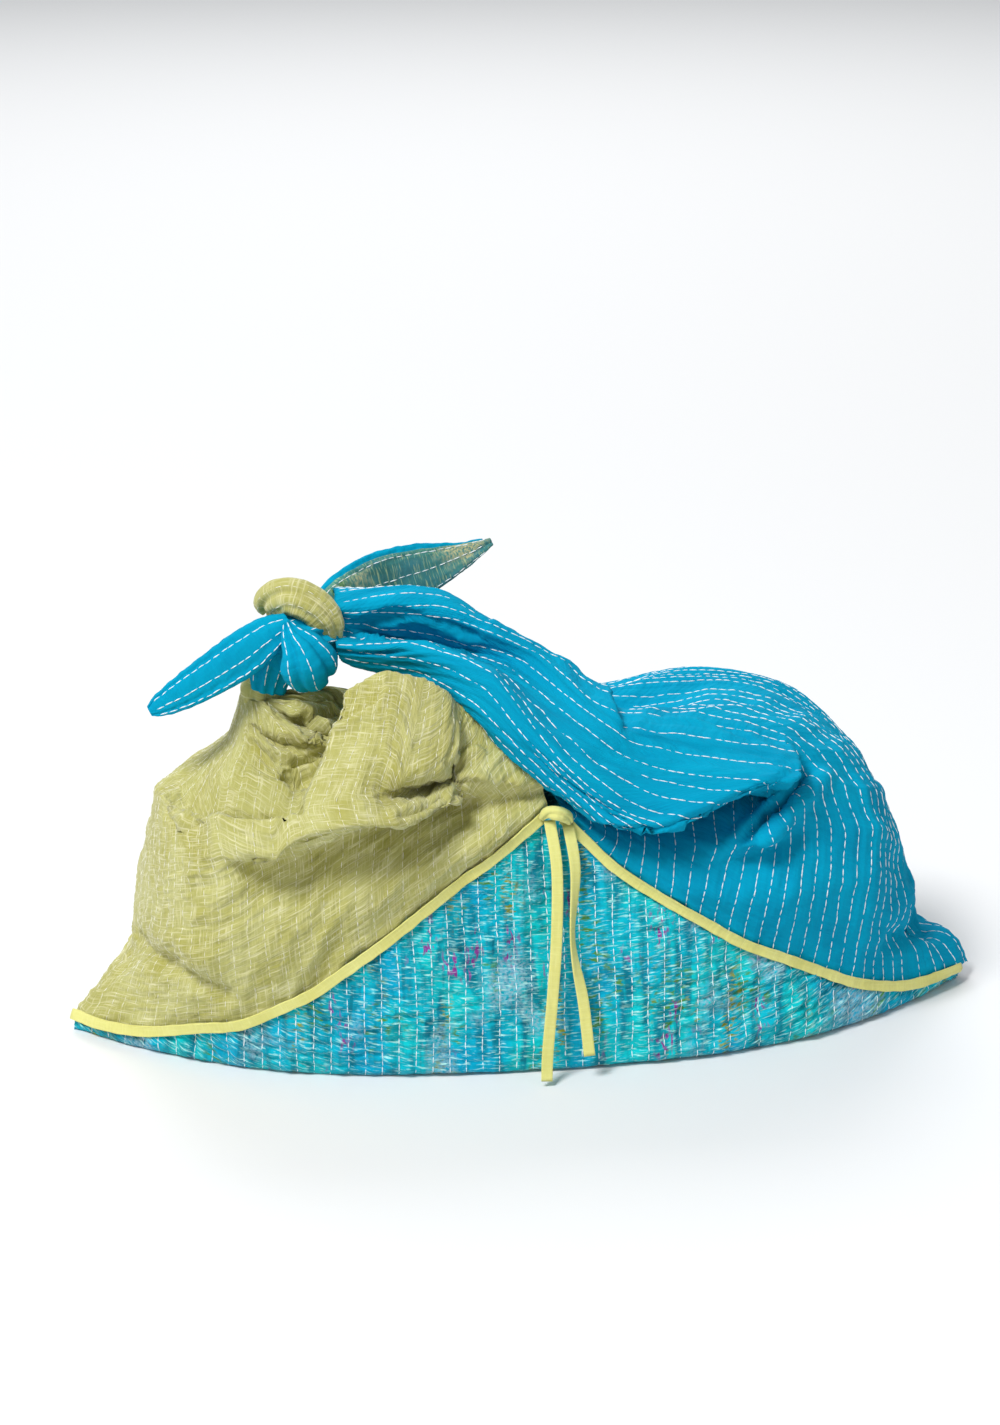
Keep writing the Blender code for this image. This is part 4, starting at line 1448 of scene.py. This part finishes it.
# Each row of an end square runs from its seam, over the folds, to the knot.
LIME_COLUMNS = ("seam", "wall", "pocket", "lip", "rim", "ledge", "crest", "lee", "pleat", "neck")
LIME_ROWS: Rows = {
    "front_hem": ((5, -50, 122), (4, -50, 127), (3, -48, 131), (2, -54, 137), (0, -50, 146),
                  (-3, -44, 153), (-14, -30, 161), (-44, -8, 154), (-86, 12, 166),
                  (-118, 8, 167)),
    "box_fold": ((-24, -62, 104), (-25, -66, 116), (-24, -50, 127), (-33, -60, 142),
                 (-35, -56, 150), (-33, -48, 159), (-38, -36, 174), (-58, -14, 150),
                 (-92, 6, 165), (-119, 5, 167)),
    "hump_right": ((-39, -65, 95), (-41, -70, 112), (-40, -48, 129), (-50, -76, 137),
                   (-54, -56, 142), (-48, -66, 151), (-41, -41, 180), (-64, -20, 151),
                   (-94, 0, 163), (-120, 2, 167)),
    "hump_top": ((-56, -69, 83), (-58, -73, 106), (-56, -52, 127), (-66, -87, 136),
                 (-71, -68, 143), (-67, -74, 154), (-55, -40, 188), (-72, -23, 152),
                 (-97, -6, 160), (-121, 0, 167)),
    "hump_left": ((-78, -72, 67), (-80, -76, 97), (-76, -58, 124), (-86, -90, 134),
                  (-89, -82, 148), (-79, -63, 168), (-72, -40, 192), (-82, -25, 152),
                  (-101, -13, 157), (-123, -3, 167)),
    "fold_edge": ((-102, -72, 50), (-105, -76, 88), (-103, -66, 116), (-106, -89, 128),
                  (-111, -80, 138), (-98, -57, 161), (-88, -41, 182), (-93, -26, 152),
                  (-108, -17, 152), (-126, -5, 167)),
    "tuck": ((-110, -71, 44), (-113, -75, 81), (-112, -65, 111), (-116, -85, 124),
             (-116, -76, 135), (-107, -56, 122), (-101, -28, 134), (-107, -17, 142),
             (-119, -14, 150), (-128, -5, 167)),
    "ledge_right": ((-125, -68, 36), (-129, -74, 73), (-129, -67, 106), (-134, -82, 120),
                    (-132, -70, 133), (-127, -56, 119), (-119, -34, 135), (-122, -21, 143),
                    (-128, -11, 153), (-130, -4, 167)),
    "ledge_left": ((-144, -62, 26), (-147, -70, 68), (-147, -71, 101), (-151, -71, 118),
                   (-151, -61, 131), (-146, -50, 117), (-138, -24, 137), (-134, -12, 145),
                   (-133, -7, 156), (-132, -2, 167)),
    "corner": ((-163, -52, 21), (-165, -60, 57), (-166, -60, 90), (-166, -56, 112),
               (-165, -40, 128), (-160, -33, 118), (-149, -12, 135), (-140, -4, 145),
               (-136, -2, 157), (-134, 1, 167)),
    "end": ((-188, -32, 11), (-184, -35, 36), (-181, -35, 66), (-178, -34, 100),
            (-175, -22, 127), (-166, -13, 126), (-153, 2, 134), (-143, 5, 144),
            (-138, 4, 157), (-136, 4, 167)),
    "wing": ((-208, -16, 8), (-200, -15, 28), (-189, -14, 42), (-186, -15, 77),
             (-177, -11, 125), (-168, -4, 127), (-153, 6, 136), (-143, 8, 145),
             (-138, 6, 157), (-136, 6, 167)),
    "tip": ((-222, 0, 7), (-207, 0, 26), (-192, 0, 41), (-187, 0, 76),
            (-178, 0, 123), (-167, 6, 130), (-152, 10, 137), (-142, 10, 145),
            (-138, 9, 157), (-136, 8, 167)),
    "back_wing": ((-204, 18, 9), (-197, 20, 28), (-189, 22, 44), (-185, 24, 80),
                  (-174, 20, 118), (-164, 19, 128), (-151, 16, 137), (-142, 14, 145),
                  (-138, 12, 157), (-135, 10, 167)),
    "back_corner": ((-163, 52, 21), (-167, 56, 46), (-167, 56, 76), (-164, 52, 102),
                    (-156, 43, 122), (-150, 36, 130), (-143, 28, 138), (-138, 20, 146),
                    (-134, 15, 157), (-130, 13, 167)),
    "back_wall": ((-102, 72, 50), (-106, 74, 72), (-108, 72, 94), (-110, 64, 113),
                  (-112, 54, 126), (-114, 45, 133), (-117, 36, 140), (-121, 28, 147),
                  (-124, 20, 157), (-125, 15, 167)),
    "back_hem": ((5, 50, 122), (-6, 51, 125), (-17, 50, 128), (-30, 47, 132),
                 (-45, 43, 136), (-60, 38, 140), (-76, 32, 145), (-92, 26, 151),
                 (-108, 20, 160), (-120, 13, 167)),
}

CYAN_COLUMNS = ("seam", "wall", "groove", "roll", "pocket", "lip", "mound", "swell", "crease",
                "strap", "grip")
CYAN_ROWS: Rows = {
    "front_hem": ((10, -50, 120), (11, -50, 122), (11, -49, 124), (9, -46, 127), (6, -42, 130),
                  (1, -38, 134), (-7, -33, 142), (-18, -26, 152), (-30, -16, 163), (-52, -4, 172),
                  (-86, 4, 183)),
    "under_roll": ((22, -53, 109), (25, -55, 110), (28, -54, 111), (29, -50, 112), (27, -45, 115),
                   (19, -61, 127), (0, -60, 140), (-17, -52, 155), (-32, -42, 171),
                   (-53, -19, 178), (-88, -5, 186)),
    "lip_left": ((38, -59, 94), (39, -61, 99), (41, -60, 104), (43, -54, 108), (44, -45, 112),
                 (35, -78, 121), (12, -70, 140), (-9, -62, 161), (-28, -47, 179), (-53, -23, 188),
                 (-90, -9, 191)),
    "lip": ((62, -64, 78), (62, -69, 90), (63, -66, 99), (65, -58, 105), (67, -38, 113),
            (63, -83, 122), (38, -77, 130), (8, -70, 154), (-20, -46, 190), (-49, -25, 197),
            (-91, -11, 196)),
    "lip_right": ((80, -64, 66), (81, -71, 84), (84, -66, 97), (88, -66, 107), (92, -40, 119),
                  (91, -80, 135), (50, -69, 140), (22, -60, 157), (-14, -26, 184),
                  (-44, -6, 190), (-91, -4, 199)),
    "roll_end": ((98, -63, 54), (100, -71, 80), (106, -60, 100), (108, -70, 113),
                 (113, -42, 127), (121, -76, 143), (62, -60, 148), (30, -53, 162),
                 (-6, -14, 183), (-40, 4, 189), (-91, 0, 202)),
    "lip_end": ((118, -60, 44), (122, -69, 80), (126, -58, 106), (124, -62, 124), (121, -51, 133),
                (123, -57, 146), (74, -50, 154), (37, -44, 165), (4, -17, 189), (-38, -8, 205),
                (-90, 0, 206)),
    "shoulder": ((141, -53, 31), (146, -60, 75), (148, -54, 106), (142, -48, 126), (134, -42, 138),
                 (122, -36, 150), (82, -28, 160), (43, -25, 165), (21, -12, 183), (-38, -5, 213),
                 (-91, -3, 211)),
    "notch": ((160, -46, 21), (165, -52, 70), (168, -46, 100), (164, -38, 118), (156, -30, 132),
              (140, -20, 147), (98, -8, 157), (50, -6, 150), (25, 0, 168), (-36, 5, 215),
              (-90, 4, 217)),
    "crown": ((185, -33, 12), (184, -30, 55), (183, -24, 85), (178, -16, 106), (168, -6, 124),
              (150, 4, 141), (112, 14, 158), (62, 14, 160), (30, 12, 160), (-36, 12, 209),
              (-90, 9, 218)),
    "wing": ((210, -18, 10), (204, -16, 26), (197, -11, 32), (195, -7, 55), (186, -1, 84),
             (168, 7, 123), (131, 21, 154), (78, 22, 162), (40, 18, 158), (-34, 14, 205),
             (-90, 11, 216)),
    "tip": ((229, 0, 7), (219, 0, 24), (204, 4, 27), (199, 6, 50), (190, 8, 80),
            (172, 14, 119), (138, 26, 151), (88, 28, 163), (45, 22, 157), (-32, 16, 198),
            (-89, 12, 214)),
    "back_wing": ((210, 18, 10), (206, 19, 26), (198, 20, 34), (195, 21, 58), (184, 23, 88),
                  (166, 27, 122), (133, 33, 151), (82, 34, 160), (40, 28, 157), (-31, 17, 192),
                  (-88, 12, 210)),
    "back_crown": ((185, 33, 12), (184, 34, 48), (181, 36, 76), (175, 38, 100), (163, 40, 120),
                   (145, 42, 136), (112, 42, 150), (72, 40, 155), (35, 32, 155), (-30, 18, 186),
                   (-88, 12, 205)),
    "back_wall": ((110, 62, 48), (112, 66, 70), (110, 66, 88), (106, 64, 104), (100, 60, 118),
                  (88, 54, 130), (70, 48, 138), (45, 42, 145), (18, 34, 152), (-34, 16, 175),
                  (-87, 10, 194)),
    "back_hem": ((10, 50, 120), (10, 49, 122), (10, 48, 125), (9, 46, 128), (7, 44, 131),
                 (3, 40, 135), (-3, 36, 140), (-11, 30, 146), (-22, 22, 155), (-48, 12, 168),
                 (-86, 8, 184)),
}

# How sharply the cloth turns at its rows and columns, from 0, round, to 1, a corner.
LIME_ROW_SHARP = sharpness(tuple(LIME_ROWS), {
    "box_fold": 0.8, "hump_right": 0.4, "hump_left": 0.2, "fold_edge": 0.5, "tuck": 0.7,
    "corner": 0.6, "wing": 0.3})
LIME_COLUMN_SHARP = sharpness(LIME_COLUMNS, {
    "pocket": 0.4, "lip": 0.2, "rim": 0.75, "ledge": 0.7, "crest": 0.3, "lee": 0.6, "pleat": 0.3})
CYAN_ROW_SHARP = sharpness(tuple(CYAN_ROWS), {
    "lip_right": 0.3, "roll_end": 0.6, "lip_end": 0.8, "shoulder": 0.3, "notch": 0.6})
CYAN_COLUMN_SHARP = sharpness(CYAN_COLUMNS, {
    "groove": 0.6, "roll": 0.3, "pocket": 0.7, "lip": 0.9, "crease": 0.5, "strap": 0.2})

# The folds pressed into the end squares.
LIME_CREASES = (
    # The wing folds away from the end, and the end sags over it.
    Crease(5.0, 5.0, ((-190, 2, 48), (-185, -22, 50), (-171, -46, 50), (-155, -59, 44),
                      (-144, -63, 38))),
    Crease(-2.5, 6.0, ((-184, -30, 62), (-168, -52, 66), (-150, -66, 60))),
    # The rim stands up from the cloth behind it.
    Lap(5.5, 7.0, ((-112, -80, 137), (-124, -74, 135), (-144, -67, 133), (-156, -56, 132))),
    Lap(1.8, 5.0, ((-148, -64, 132), (-161, -50, 131), (-169, -32, 129), (-177, -16, 127))),
    Crease(7.0, 5.0, ((-170, -16, 128), (-160, -36, 127), (-146, -46, 124), (-131, -50, 122),
                      (-117, -50, 123))),
    # The front rolls over a shadow line, deepest at its left end.
    Lap(3.5, 9.0, ((-146, -68, 112), (-133, -75, 117), (-113, -85, 128), (-93, -90, 135),
                   (-77, -87, 136), (-54, -75, 137), (-30, -53, 132))),
    Crease(4.0, 5.0, ((-150, -70, 110), (-140, -74, 113), (-130, -78, 118), (-112, -85, 125))),
    # The hump stands up from the cloth on its left, and over the recess on its right.
    Lap(4.0, 8.0, ((-82, -42, 191), (-88, -42, 183), (-93, -45, 174), (-97, -54, 162),
                   (-103, -62, 152), (-109, -71, 142), (-114, -78, 137))),
    Lap(4.5, 7.0, ((-84, -80, 142), (-66, -66, 142), (-52, -55, 143), (-42, -52, 148),
                   (-38, -55, 158), (-36, -44, 168))),
    Lap(2.0, 8.0, ((-71, -49, 190), (-75, -54, 185), (-85, -56, 178), (-95, -52, 169))),
    # The boxed folds beside it.
    Lap(2.5, 4.0, ((-22, -48, 151), (-29, -49, 156), (-35, -49, 153), (-40, -54, 152))),
    Lap(2.5, 4.0, ((-43, -56, 146), (-38, -61, 145), (-31, -59, 143), (-23, -58, 141))),
    # The hole where the tuck opens.
    Crease(9.0, 4.5, ((-118, -34, 134), (-111, -29, 137), (-104, -26, 141))),
    # The swags of the gathered cloth between the neck and the hump.
    Lap(4.5, 6.0, ((-108, 2, 170), (-98, 1, 167), (-88, 0, 168))),
    Lap(4.5, 6.0, ((-121, -6, 168), (-109, -14, 165), (-95, -7, 167), (-86, 0, 168))),
    Lap(4.5, 6.0, ((-117, -9, 163), (-106, -13, 159), (-97, -15, 160), (-89, -9, 163))),
    Lap(4.5, 6.0, ((-134, -7, 158), (-122, -12, 153), (-111, -20, 152), (-98, -22, 152))),
    Lap(4.5, 6.0, ((-133, -10, 152), (-123, -18, 147), (-113, -19, 143), (-100, -23, 149))),
)
CYAN_CREASES = (
    # The wing folds away from the end.
    Crease(7.0, 6.0, ((206, 6, 32), (196, -14, 35), (184, -28, 38), (172, -38, 42))),
    Crease(-2.5, 6.0, ((200, -4, 58), (188, -24, 56), (170, -42, 54))),
    # The mound stands over the cloth below it, and up from the cloth behind it.
    Lap(3.0, 6.0, ((11, -49, 125), (23, -69, 125), (37, -79, 124), (54, -81, 124), (73, -81, 130),
                   (91, -79, 137), (110, -76, 143), (124, -64, 145))),
    Lap(2.5, 8.0, ((130, -41, 142), (111, -50, 150), (96, -46, 154), (76, -35, 157),
                   (57, -33, 161))),
    Crease(2.0, 7.0, ((22, -66, 150), (30, -62, 153), (42, -57, 156), (56, -48, 160))),
    # Two small rolls come out from under the mound, with a groove between them.
    Crease(-5.5, 4.0, ((121, -66, 140), (114, -59, 131), (102, -63, 121), (87, -68, 108))),
    Crease(8.0, 3.5, ((134, -44, 136), (120, -60, 127), (109, -62, 118), (94, -67, 105))),
    Crease(-4.0, 4.5, ((150, -38, 135), (131, -55, 127), (115, -63, 118), (99, -68, 107))),
    # The notch where the strap leaves the crown.
    Lap(5.0, 7.0, ((42, -50, 160), (36, -32, 163), (35, -24, 166), (31, -13, 169))),
    # The valley along the strap, between its upper and its lower roll.
    Lap(3.5, 7.0, ((-22, -9, 192), (-30, -9, 195), (-53, -18, 197), (-67, -12, 197),
                   (-80, 1, 200))),
    Lap(3.0, 7.0, ((-86, 0, 204), (-74, -4, 209), (-62, -5, 212), (-48, -7, 209))),
)

# The knot: the lime square's core and its turn over the top, the cyan square's turn, the lobe
# in front of it and the tails.
LIME_WRAP = RolledCloth(
    "knot_lime_wrap", "lime_cotton",
    ((-122, 12, 207, 3, 3), (-121, 3, 214, 8, 5), (-113, -4, 219, 9, 6), (-103, -7, 216, 9, 6),
     (-95, -8, 208, 8, 5), (-92, -5, 199, 5, 4), (-93, 1, 193, 2, 2)),
    folds=(Fold(100, 120, 2.0, 14), Fold(50, 60, 1.0, 12)), rows=((60, 75), (130, 120)), seed=21)
LIME_CORE = RolledCloth(
    "knot_lime_core", "lime_cotton",
    ((-127, 4, 158, 7, 7), (-126, 4, 169, 10, 9), (-124, 4, 178, 8, 8), (-121, 5, 190, 6, 6),
     (-117, 6, 201, 6, 6), (-113, 6, 210, 6, 6)),
    folds=(Fold(70, 60, 2.0, 14), Fold(120, 130, 2.0, 16)), seed=22)
CYAN_WRAP = RolledCloth(
    "knot_cyan_wrap", "cyan_cotton",
    ((-90, 3, 200, 13, 10), (-99, -1, 200, 14, 12), (-110, -2, 196, 14, 12),
     (-118, 1, 188, 12, 12), (-122, 3, 179, 11, 12), (-124, 3, 171, 10, 11)),
    folds=(Fold(60, 60, 2.6, 12), Fold(100, 95, 2.6, 11), Fold(130, 125, 2.4, 12),
           Fold(20, 30, 1.6, 14)),
    rows=((45, 42), (78, 80), (115, 112), (150, 140)), seed=23)
KNOT_LOBE = RolledCloth(
    "knot_lobe", "cyan_cotton",
    ((-114, -12, 208, 2, 3), (-112, -17, 204, 6, 6), (-108, -20, 198, 11, 9),
     (-105, -20, 191, 14, 10), (-103, -16, 184, 12, 9), (-102, -10, 181, 6, 5)),
    folds=(Fold(70, 48, 2.4, 9), Fold(118, 132, 2.4, 10)),
    rows=((50, 28), (92, 84), (136, 150)), seed=26)
LEFT_TAIL = RolledCloth(
    "knot_left_tail", "cyan_cotton",
    ((-113, -10, 208, 5, 5), (-123, -12, 203, 9, 5), (-135, -12, 194, 11, 4),
     (-150, -11, 184, 10, 3), (-165, -11, 175, 8, 2.5), (-176, -11, 169, 5, 2),
     (-180, -11, 167, 2.5, 1.5)),
    folds=(Fold(60, 40, 0.8, 12), Fold(110, 130, 0.6, 16)),
    rows=((62, 50), (98, 94), (134, 140)), edge=0.7, seed=24)
TIE_KNOT = RolledCloth(
    "tie_knot", "tape_cotton",
    ((1, -55, 120, 1.5, 1.2), (4, -58, 124, 3, 2), (9, -60, 124, 3.4, 2.4), (13, -58, 121, 3, 2),
     (15, -55, 117, 1.5, 1.2)),
    folds=(Fold(60, 110, 0.8, 16),), sides=32, seed=28)
BACK_TAIL = RolledCloth(
    "knot_back_tail", "patterned_cotton",
    ((-96, 14, 204, 6, 4), (-84, 22, 208, 10, 3), (-64, 33, 211, 13, 2), (-42, 42, 214, 11, 1.5),
     (-22, 49, 219, 6, 1.2), (-8, 54, 224, 2, 1)),
    folds=(Fold(100, 80, 0.5, 12),), rows=((42, 36), (90, 92), (140, 145)),
    edge=0.7, seed=25)
BACK_TAIL_FACE = RolledCloth(
    "knot_back_tail_face", "cyan_cotton",
    ((-94, 19, 207, 6, 3), (-84, 26, 211, 9, 2), (-66, 36, 215, 11, 1.5), (-44, 45, 218, 9, 1.2),
     (-24, 51, 221, 4, 1), (-12, 55, 224, 1.5, 0.8)),
    edge=0.7, seed=27)

# The two free ends of tape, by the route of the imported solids.
LEFT_TIE = Tie("tie_left", ((5, -55, 119), (7, -66, 98), (5, -79, 68), (2, -87, 41),
                            (-1, -93, 16), (-2, -97, 3)), (0, 0, 0, 0, 0, 0))
RIGHT_TIE = Tie("tie_right", ((14, -55, 116), (16, -65, 96), (13, -77, 66), (17, -85, 38),
                              (19, -93, 13)), (0, 20, 60, 10, 0))


# Long stitches with short gaps; the lime square's thread is the thinnest.
BASE_STITCHES = Stitching("base_stitches", "patterned_cotton", 3.9, 0.6, 0.6, 31)
LIME_STITCHES = Stitching("lime_stitches", "lime_cotton", 3.4, 0.9, 0.38, 32)
CYAN_STITCHES = Stitching("cyan_stitches", "cyan_cotton", 3.9, 0.55, 0.62, 33)


@dataclass(frozen=True)
class Lamp:
    """A square area light that points at the bag.

    Attributes:
        name: its name.
        place: where it stands, in metres.
        size: its side, in metres.
        power: its power, in watts.
    """

    name: str
    place: Point
    size: float
    power: float


@dataclass
class Studio:
    """A pale seamless floor, a soft light from the upper left, a fill and one from behind.

    Attributes:
        target: what the camera looks at, in metres.
        elevation: how far it looks down, in degrees.
        turn: how far to the left it stands, in degrees.
        distance: how far away, in metres.
        lens: its focal length.
        sensor: its sensor's width.
        floor_size: the floor's side, in metres.
        floor_colour: the floor's paper, which is matt.
        floor_roughness: how matt it is.
        sky_colour: the light from all round.
        sky: its strength.
        lamps: the lights.
    """

    target: Point = (-0.0042, 0.0503, 0.1356)
    elevation: float = 20.0
    turn: float = 7.8
    distance: float = 1.6823
    lens: float = 85.0
    sensor: float = 36.0
    floor_size: float = 12.0
    floor_colour: str = "#E8E9EA"
    floor_roughness: float = 0.9
    sky_colour: str = "#F6F8FA"
    sky: float = 0.36
    lamps: tuple[Lamp, ...] = (Lamp("key", (-1.25, -1.15, 2.35), 0.8, 72.0),
                               Lamp("fill", (1.6, -1.8, 0.9), 2.0, 5.0),
                               Lamp("back", (0.2, 2.6, 2.4), 2.4, 60.0))

    def camera(self) -> None:
        """Place the camera: it looks at the target from the front, a little from the left."""
        data = bpy.data.cameras.new("camera")
        data.lens = self.lens
        data.sensor_width = self.sensor
        camera = add_object("camera", data)
        up, round_by = math.radians(self.elevation), math.radians(self.turn)
        back = np.array([-math.sin(round_by) * math.cos(up), -math.cos(round_by) * math.cos(up),
                         math.sin(up)])
        camera.location = np.array(self.target) + back * self.distance
        camera.rotation_euler = (math.pi / 2 - up, 0, -round_by)
        bpy.context.scene.camera = camera

    def light(self, lamp: Lamp) -> None:
        """Add a light, turned towards the target."""
        data = bpy.data.lights.new(lamp.name, "AREA")
        data.size = lamp.size
        data.energy = lamp.power
        light = add_object(lamp.name, data)
        light.location = lamp.place
        away = np.array(lamp.place) - np.array(self.target)
        tilt = math.atan2(math.hypot(away[0], away[1]), away[2])
        light.rotation_euler = (tilt, 0, math.atan2(away[1], away[0]) + math.pi / 2)

    def floor(self) -> None:
        """Lay the floor: seamless paper, one matt sheet far wider than the view."""
        half = self.floor_size / 2
        mesh = bpy.data.meshes.new("floor")
        mesh.from_pydata([(-half, -half, 0), (half, -half, 0), (half, half, 0), (-half, half, 0)],
                         [], [(0, 1, 2, 3)])
        paper, _ = new_material("seamless_paper", {"Base Color": linear(self.floor_colour),
                                                   "Roughness": self.floor_roughness})
        mesh.materials.append(paper)
        add_object("floor", mesh)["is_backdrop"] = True

    def make(self) -> None:
        """Build the studio."""
        self.camera()
        for lamp in self.lamps:
            self.light(lamp)
        self.floor()
        world = bpy.data.worlds.new("studio")
        world.use_nodes = True
        sky = world.node_tree.nodes["Background"]
        sky.inputs["Color"].default_value = linear(self.sky_colour)
        sky.inputs["Strength"].default_value = self.sky
        bpy.context.scene.world = world
        bpy.context.scene.view_settings.view_transform = "Standard"


@dataclass
class KnottedBag:
    """The whole bag.

    Attributes:
        apex_left: the x at which the left tapes end, at the front and the back corner.
        apex_right: the x at which the right ones do.
        back_tape_free: how far from the tips the back tapes end, past the base's own inset.
        base_cut: the side of the square that the base was cut from, in metres.
        lime_cut: the side of the lime square.
        cyan_cut: the side of the cyan square.
    """

    apex_left: float = 1.0
    apex_right: float = 12.0
    back_tape_free: float = 14.0
    base_cut: float = 0.33
    lime_cut: float = 0.28
    cyan_cut: float = 0.30

    def squares(self) -> tuple[BasePanel, LimeEnd, EndSquare]:
        """Set out the base, the lime square and the cyan square, before they are built."""
        base = BasePanel(
            "base_cloth", {},
            Quilting(puff=0.7, pucker=1.0, pucker_wave=4.2, crumple=2.2, seed=2),
            "patterned_cotton", "base_panel", spacing=1.66)
        lime = LimeEnd(
            "lime_cloth", LIME_ROWS,
            Quilting(puff=0.4, pucker=0.5, pucker_wave=4.6, crumple=1.7, seed=7),
            "lime_cotton", "lime_end", spacing=1.4, crowd_gap=5.6, creases=LIME_CREASES,
            row_sharp=LIME_ROW_SHARP, column_sharp=LIME_COLUMN_SHARP)
        cyan = EndSquare(
            "cyan_cloth", CYAN_ROWS, Quilting(puff=0.6, pucker=0.3, crumple=1.4, seed=11),
            "cyan_cotton", "cyan_end", spacing=1.72, crowd_gap=6.4, creases=CYAN_CREASES,
            row_sharp=CYAN_ROW_SHARP, column_sharp=CYAN_COLUMN_SHARP)
        return base, lime, cyan

    def bind(self, base: BasePanel, finish: bpy.types.Material) -> list[bpy.types.Object]:
        """Sew the tapes over the seams, tie the small knot and hang the two ties.

        Args:
            base: the base square.
            finish: the tape's finish.

        Returns:
            The tapes over the seams and the small knot.
        """
        tapes = []
        for side, free in ((Side.FRONT, 0.0), (Side.BACK, self.back_tape_free)):
            end = base.half_length - base.tip_inset - free
            label = side.name.lower()
            for half, table, low, high in (("left", LIME_ROWS, -end, self.apex_left),
                                           ("right", CYAN_ROWS, self.apex_right, end)):
                tape = Binding(f"binding_{label}_{half}", table, side, low, high, base)
                tapes.append(tape.make(finish))
        tapes.append(TIE_KNOT.make(finish))
        for tie in (LEFT_TIE, RIGHT_TIE):
            tie.make(finish)
        return tapes

    def sew(self, stitching: Stitching, sources: Sequence[Panel | RolledCloth],
            thread: Thread) -> bpy.types.Object:
        """Sew the rows of these pieces of cloth with one thread."""
        lines, normals = [], []
        for source in sources:
            more = source.rows() if isinstance(source, Panel) else source.lines()
            lines += more[0]
            normals += more[1]
        return stitching.make(lines, normals, thread.make())

    def make(self) -> None:
        """Build every piece: cloth first, then knot, tapes and thread."""
        base, lime, cyan = self.squares()
        lime_finish, cyan_finish = LIME_CLOTH.make(), CYAN_CLOTH.make()
        base_piece = base.make(BASE_CLOTH.make())
        lime_piece = lime.make(lime_finish)
        cyan_piece = cyan.make(cyan_finish)
        lime_knot = [roll.make(lime_finish) for roll in (LIME_WRAP, LIME_CORE)]
        cyan_knot = [roll.make(cyan_finish)
                     for roll in (CYAN_WRAP, KNOT_LOBE, LEFT_TAIL, BACK_TAIL_FACE)]
        cyan_knot.append(BACK_TAIL.make(REVERSE_CLOTH.make()))
        tapes = self.bind(base, TAPE_CLOTH.make())
        base_thread = self.sew(BASE_STITCHES, [base], WHITE_THREAD)
        lime_thread = self.sew(LIME_STITCHES, [lime, LIME_WRAP], CREAM_THREAD)
        cyan_thread = self.sew(
            CYAN_STITCHES, [cyan, CYAN_WRAP, KNOT_LOBE, LEFT_TAIL, BACK_TAIL], WHITE_THREAD)
        base.declare(base_piece, self.base_cut, "folded", [base_thread, *tapes])
        lime.declare(lime_piece, self.lime_cut, "gathered", [lime_thread, *lime_knot])
        cyan.declare(cyan_piece, self.cyan_cut, "gathered", [cyan_thread, *cyan_knot])


def corners(box: Sequence[Sequence[float]]) -> list[list[float]]:
    """Return a box's two corners as plain lists."""
    return [[float(value) for value in corner] for corner in box]


def main() -> None:
    """Build the bag and the studio."""
    logging.basicConfig(level=logging.INFO, format="%(name)s: %(message)s")
    Studio().make()
    KnottedBag().make()
    {"cad": corners(CAD_BOX), "visual": corners(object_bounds())}


if __name__ == "__main__":
    main()
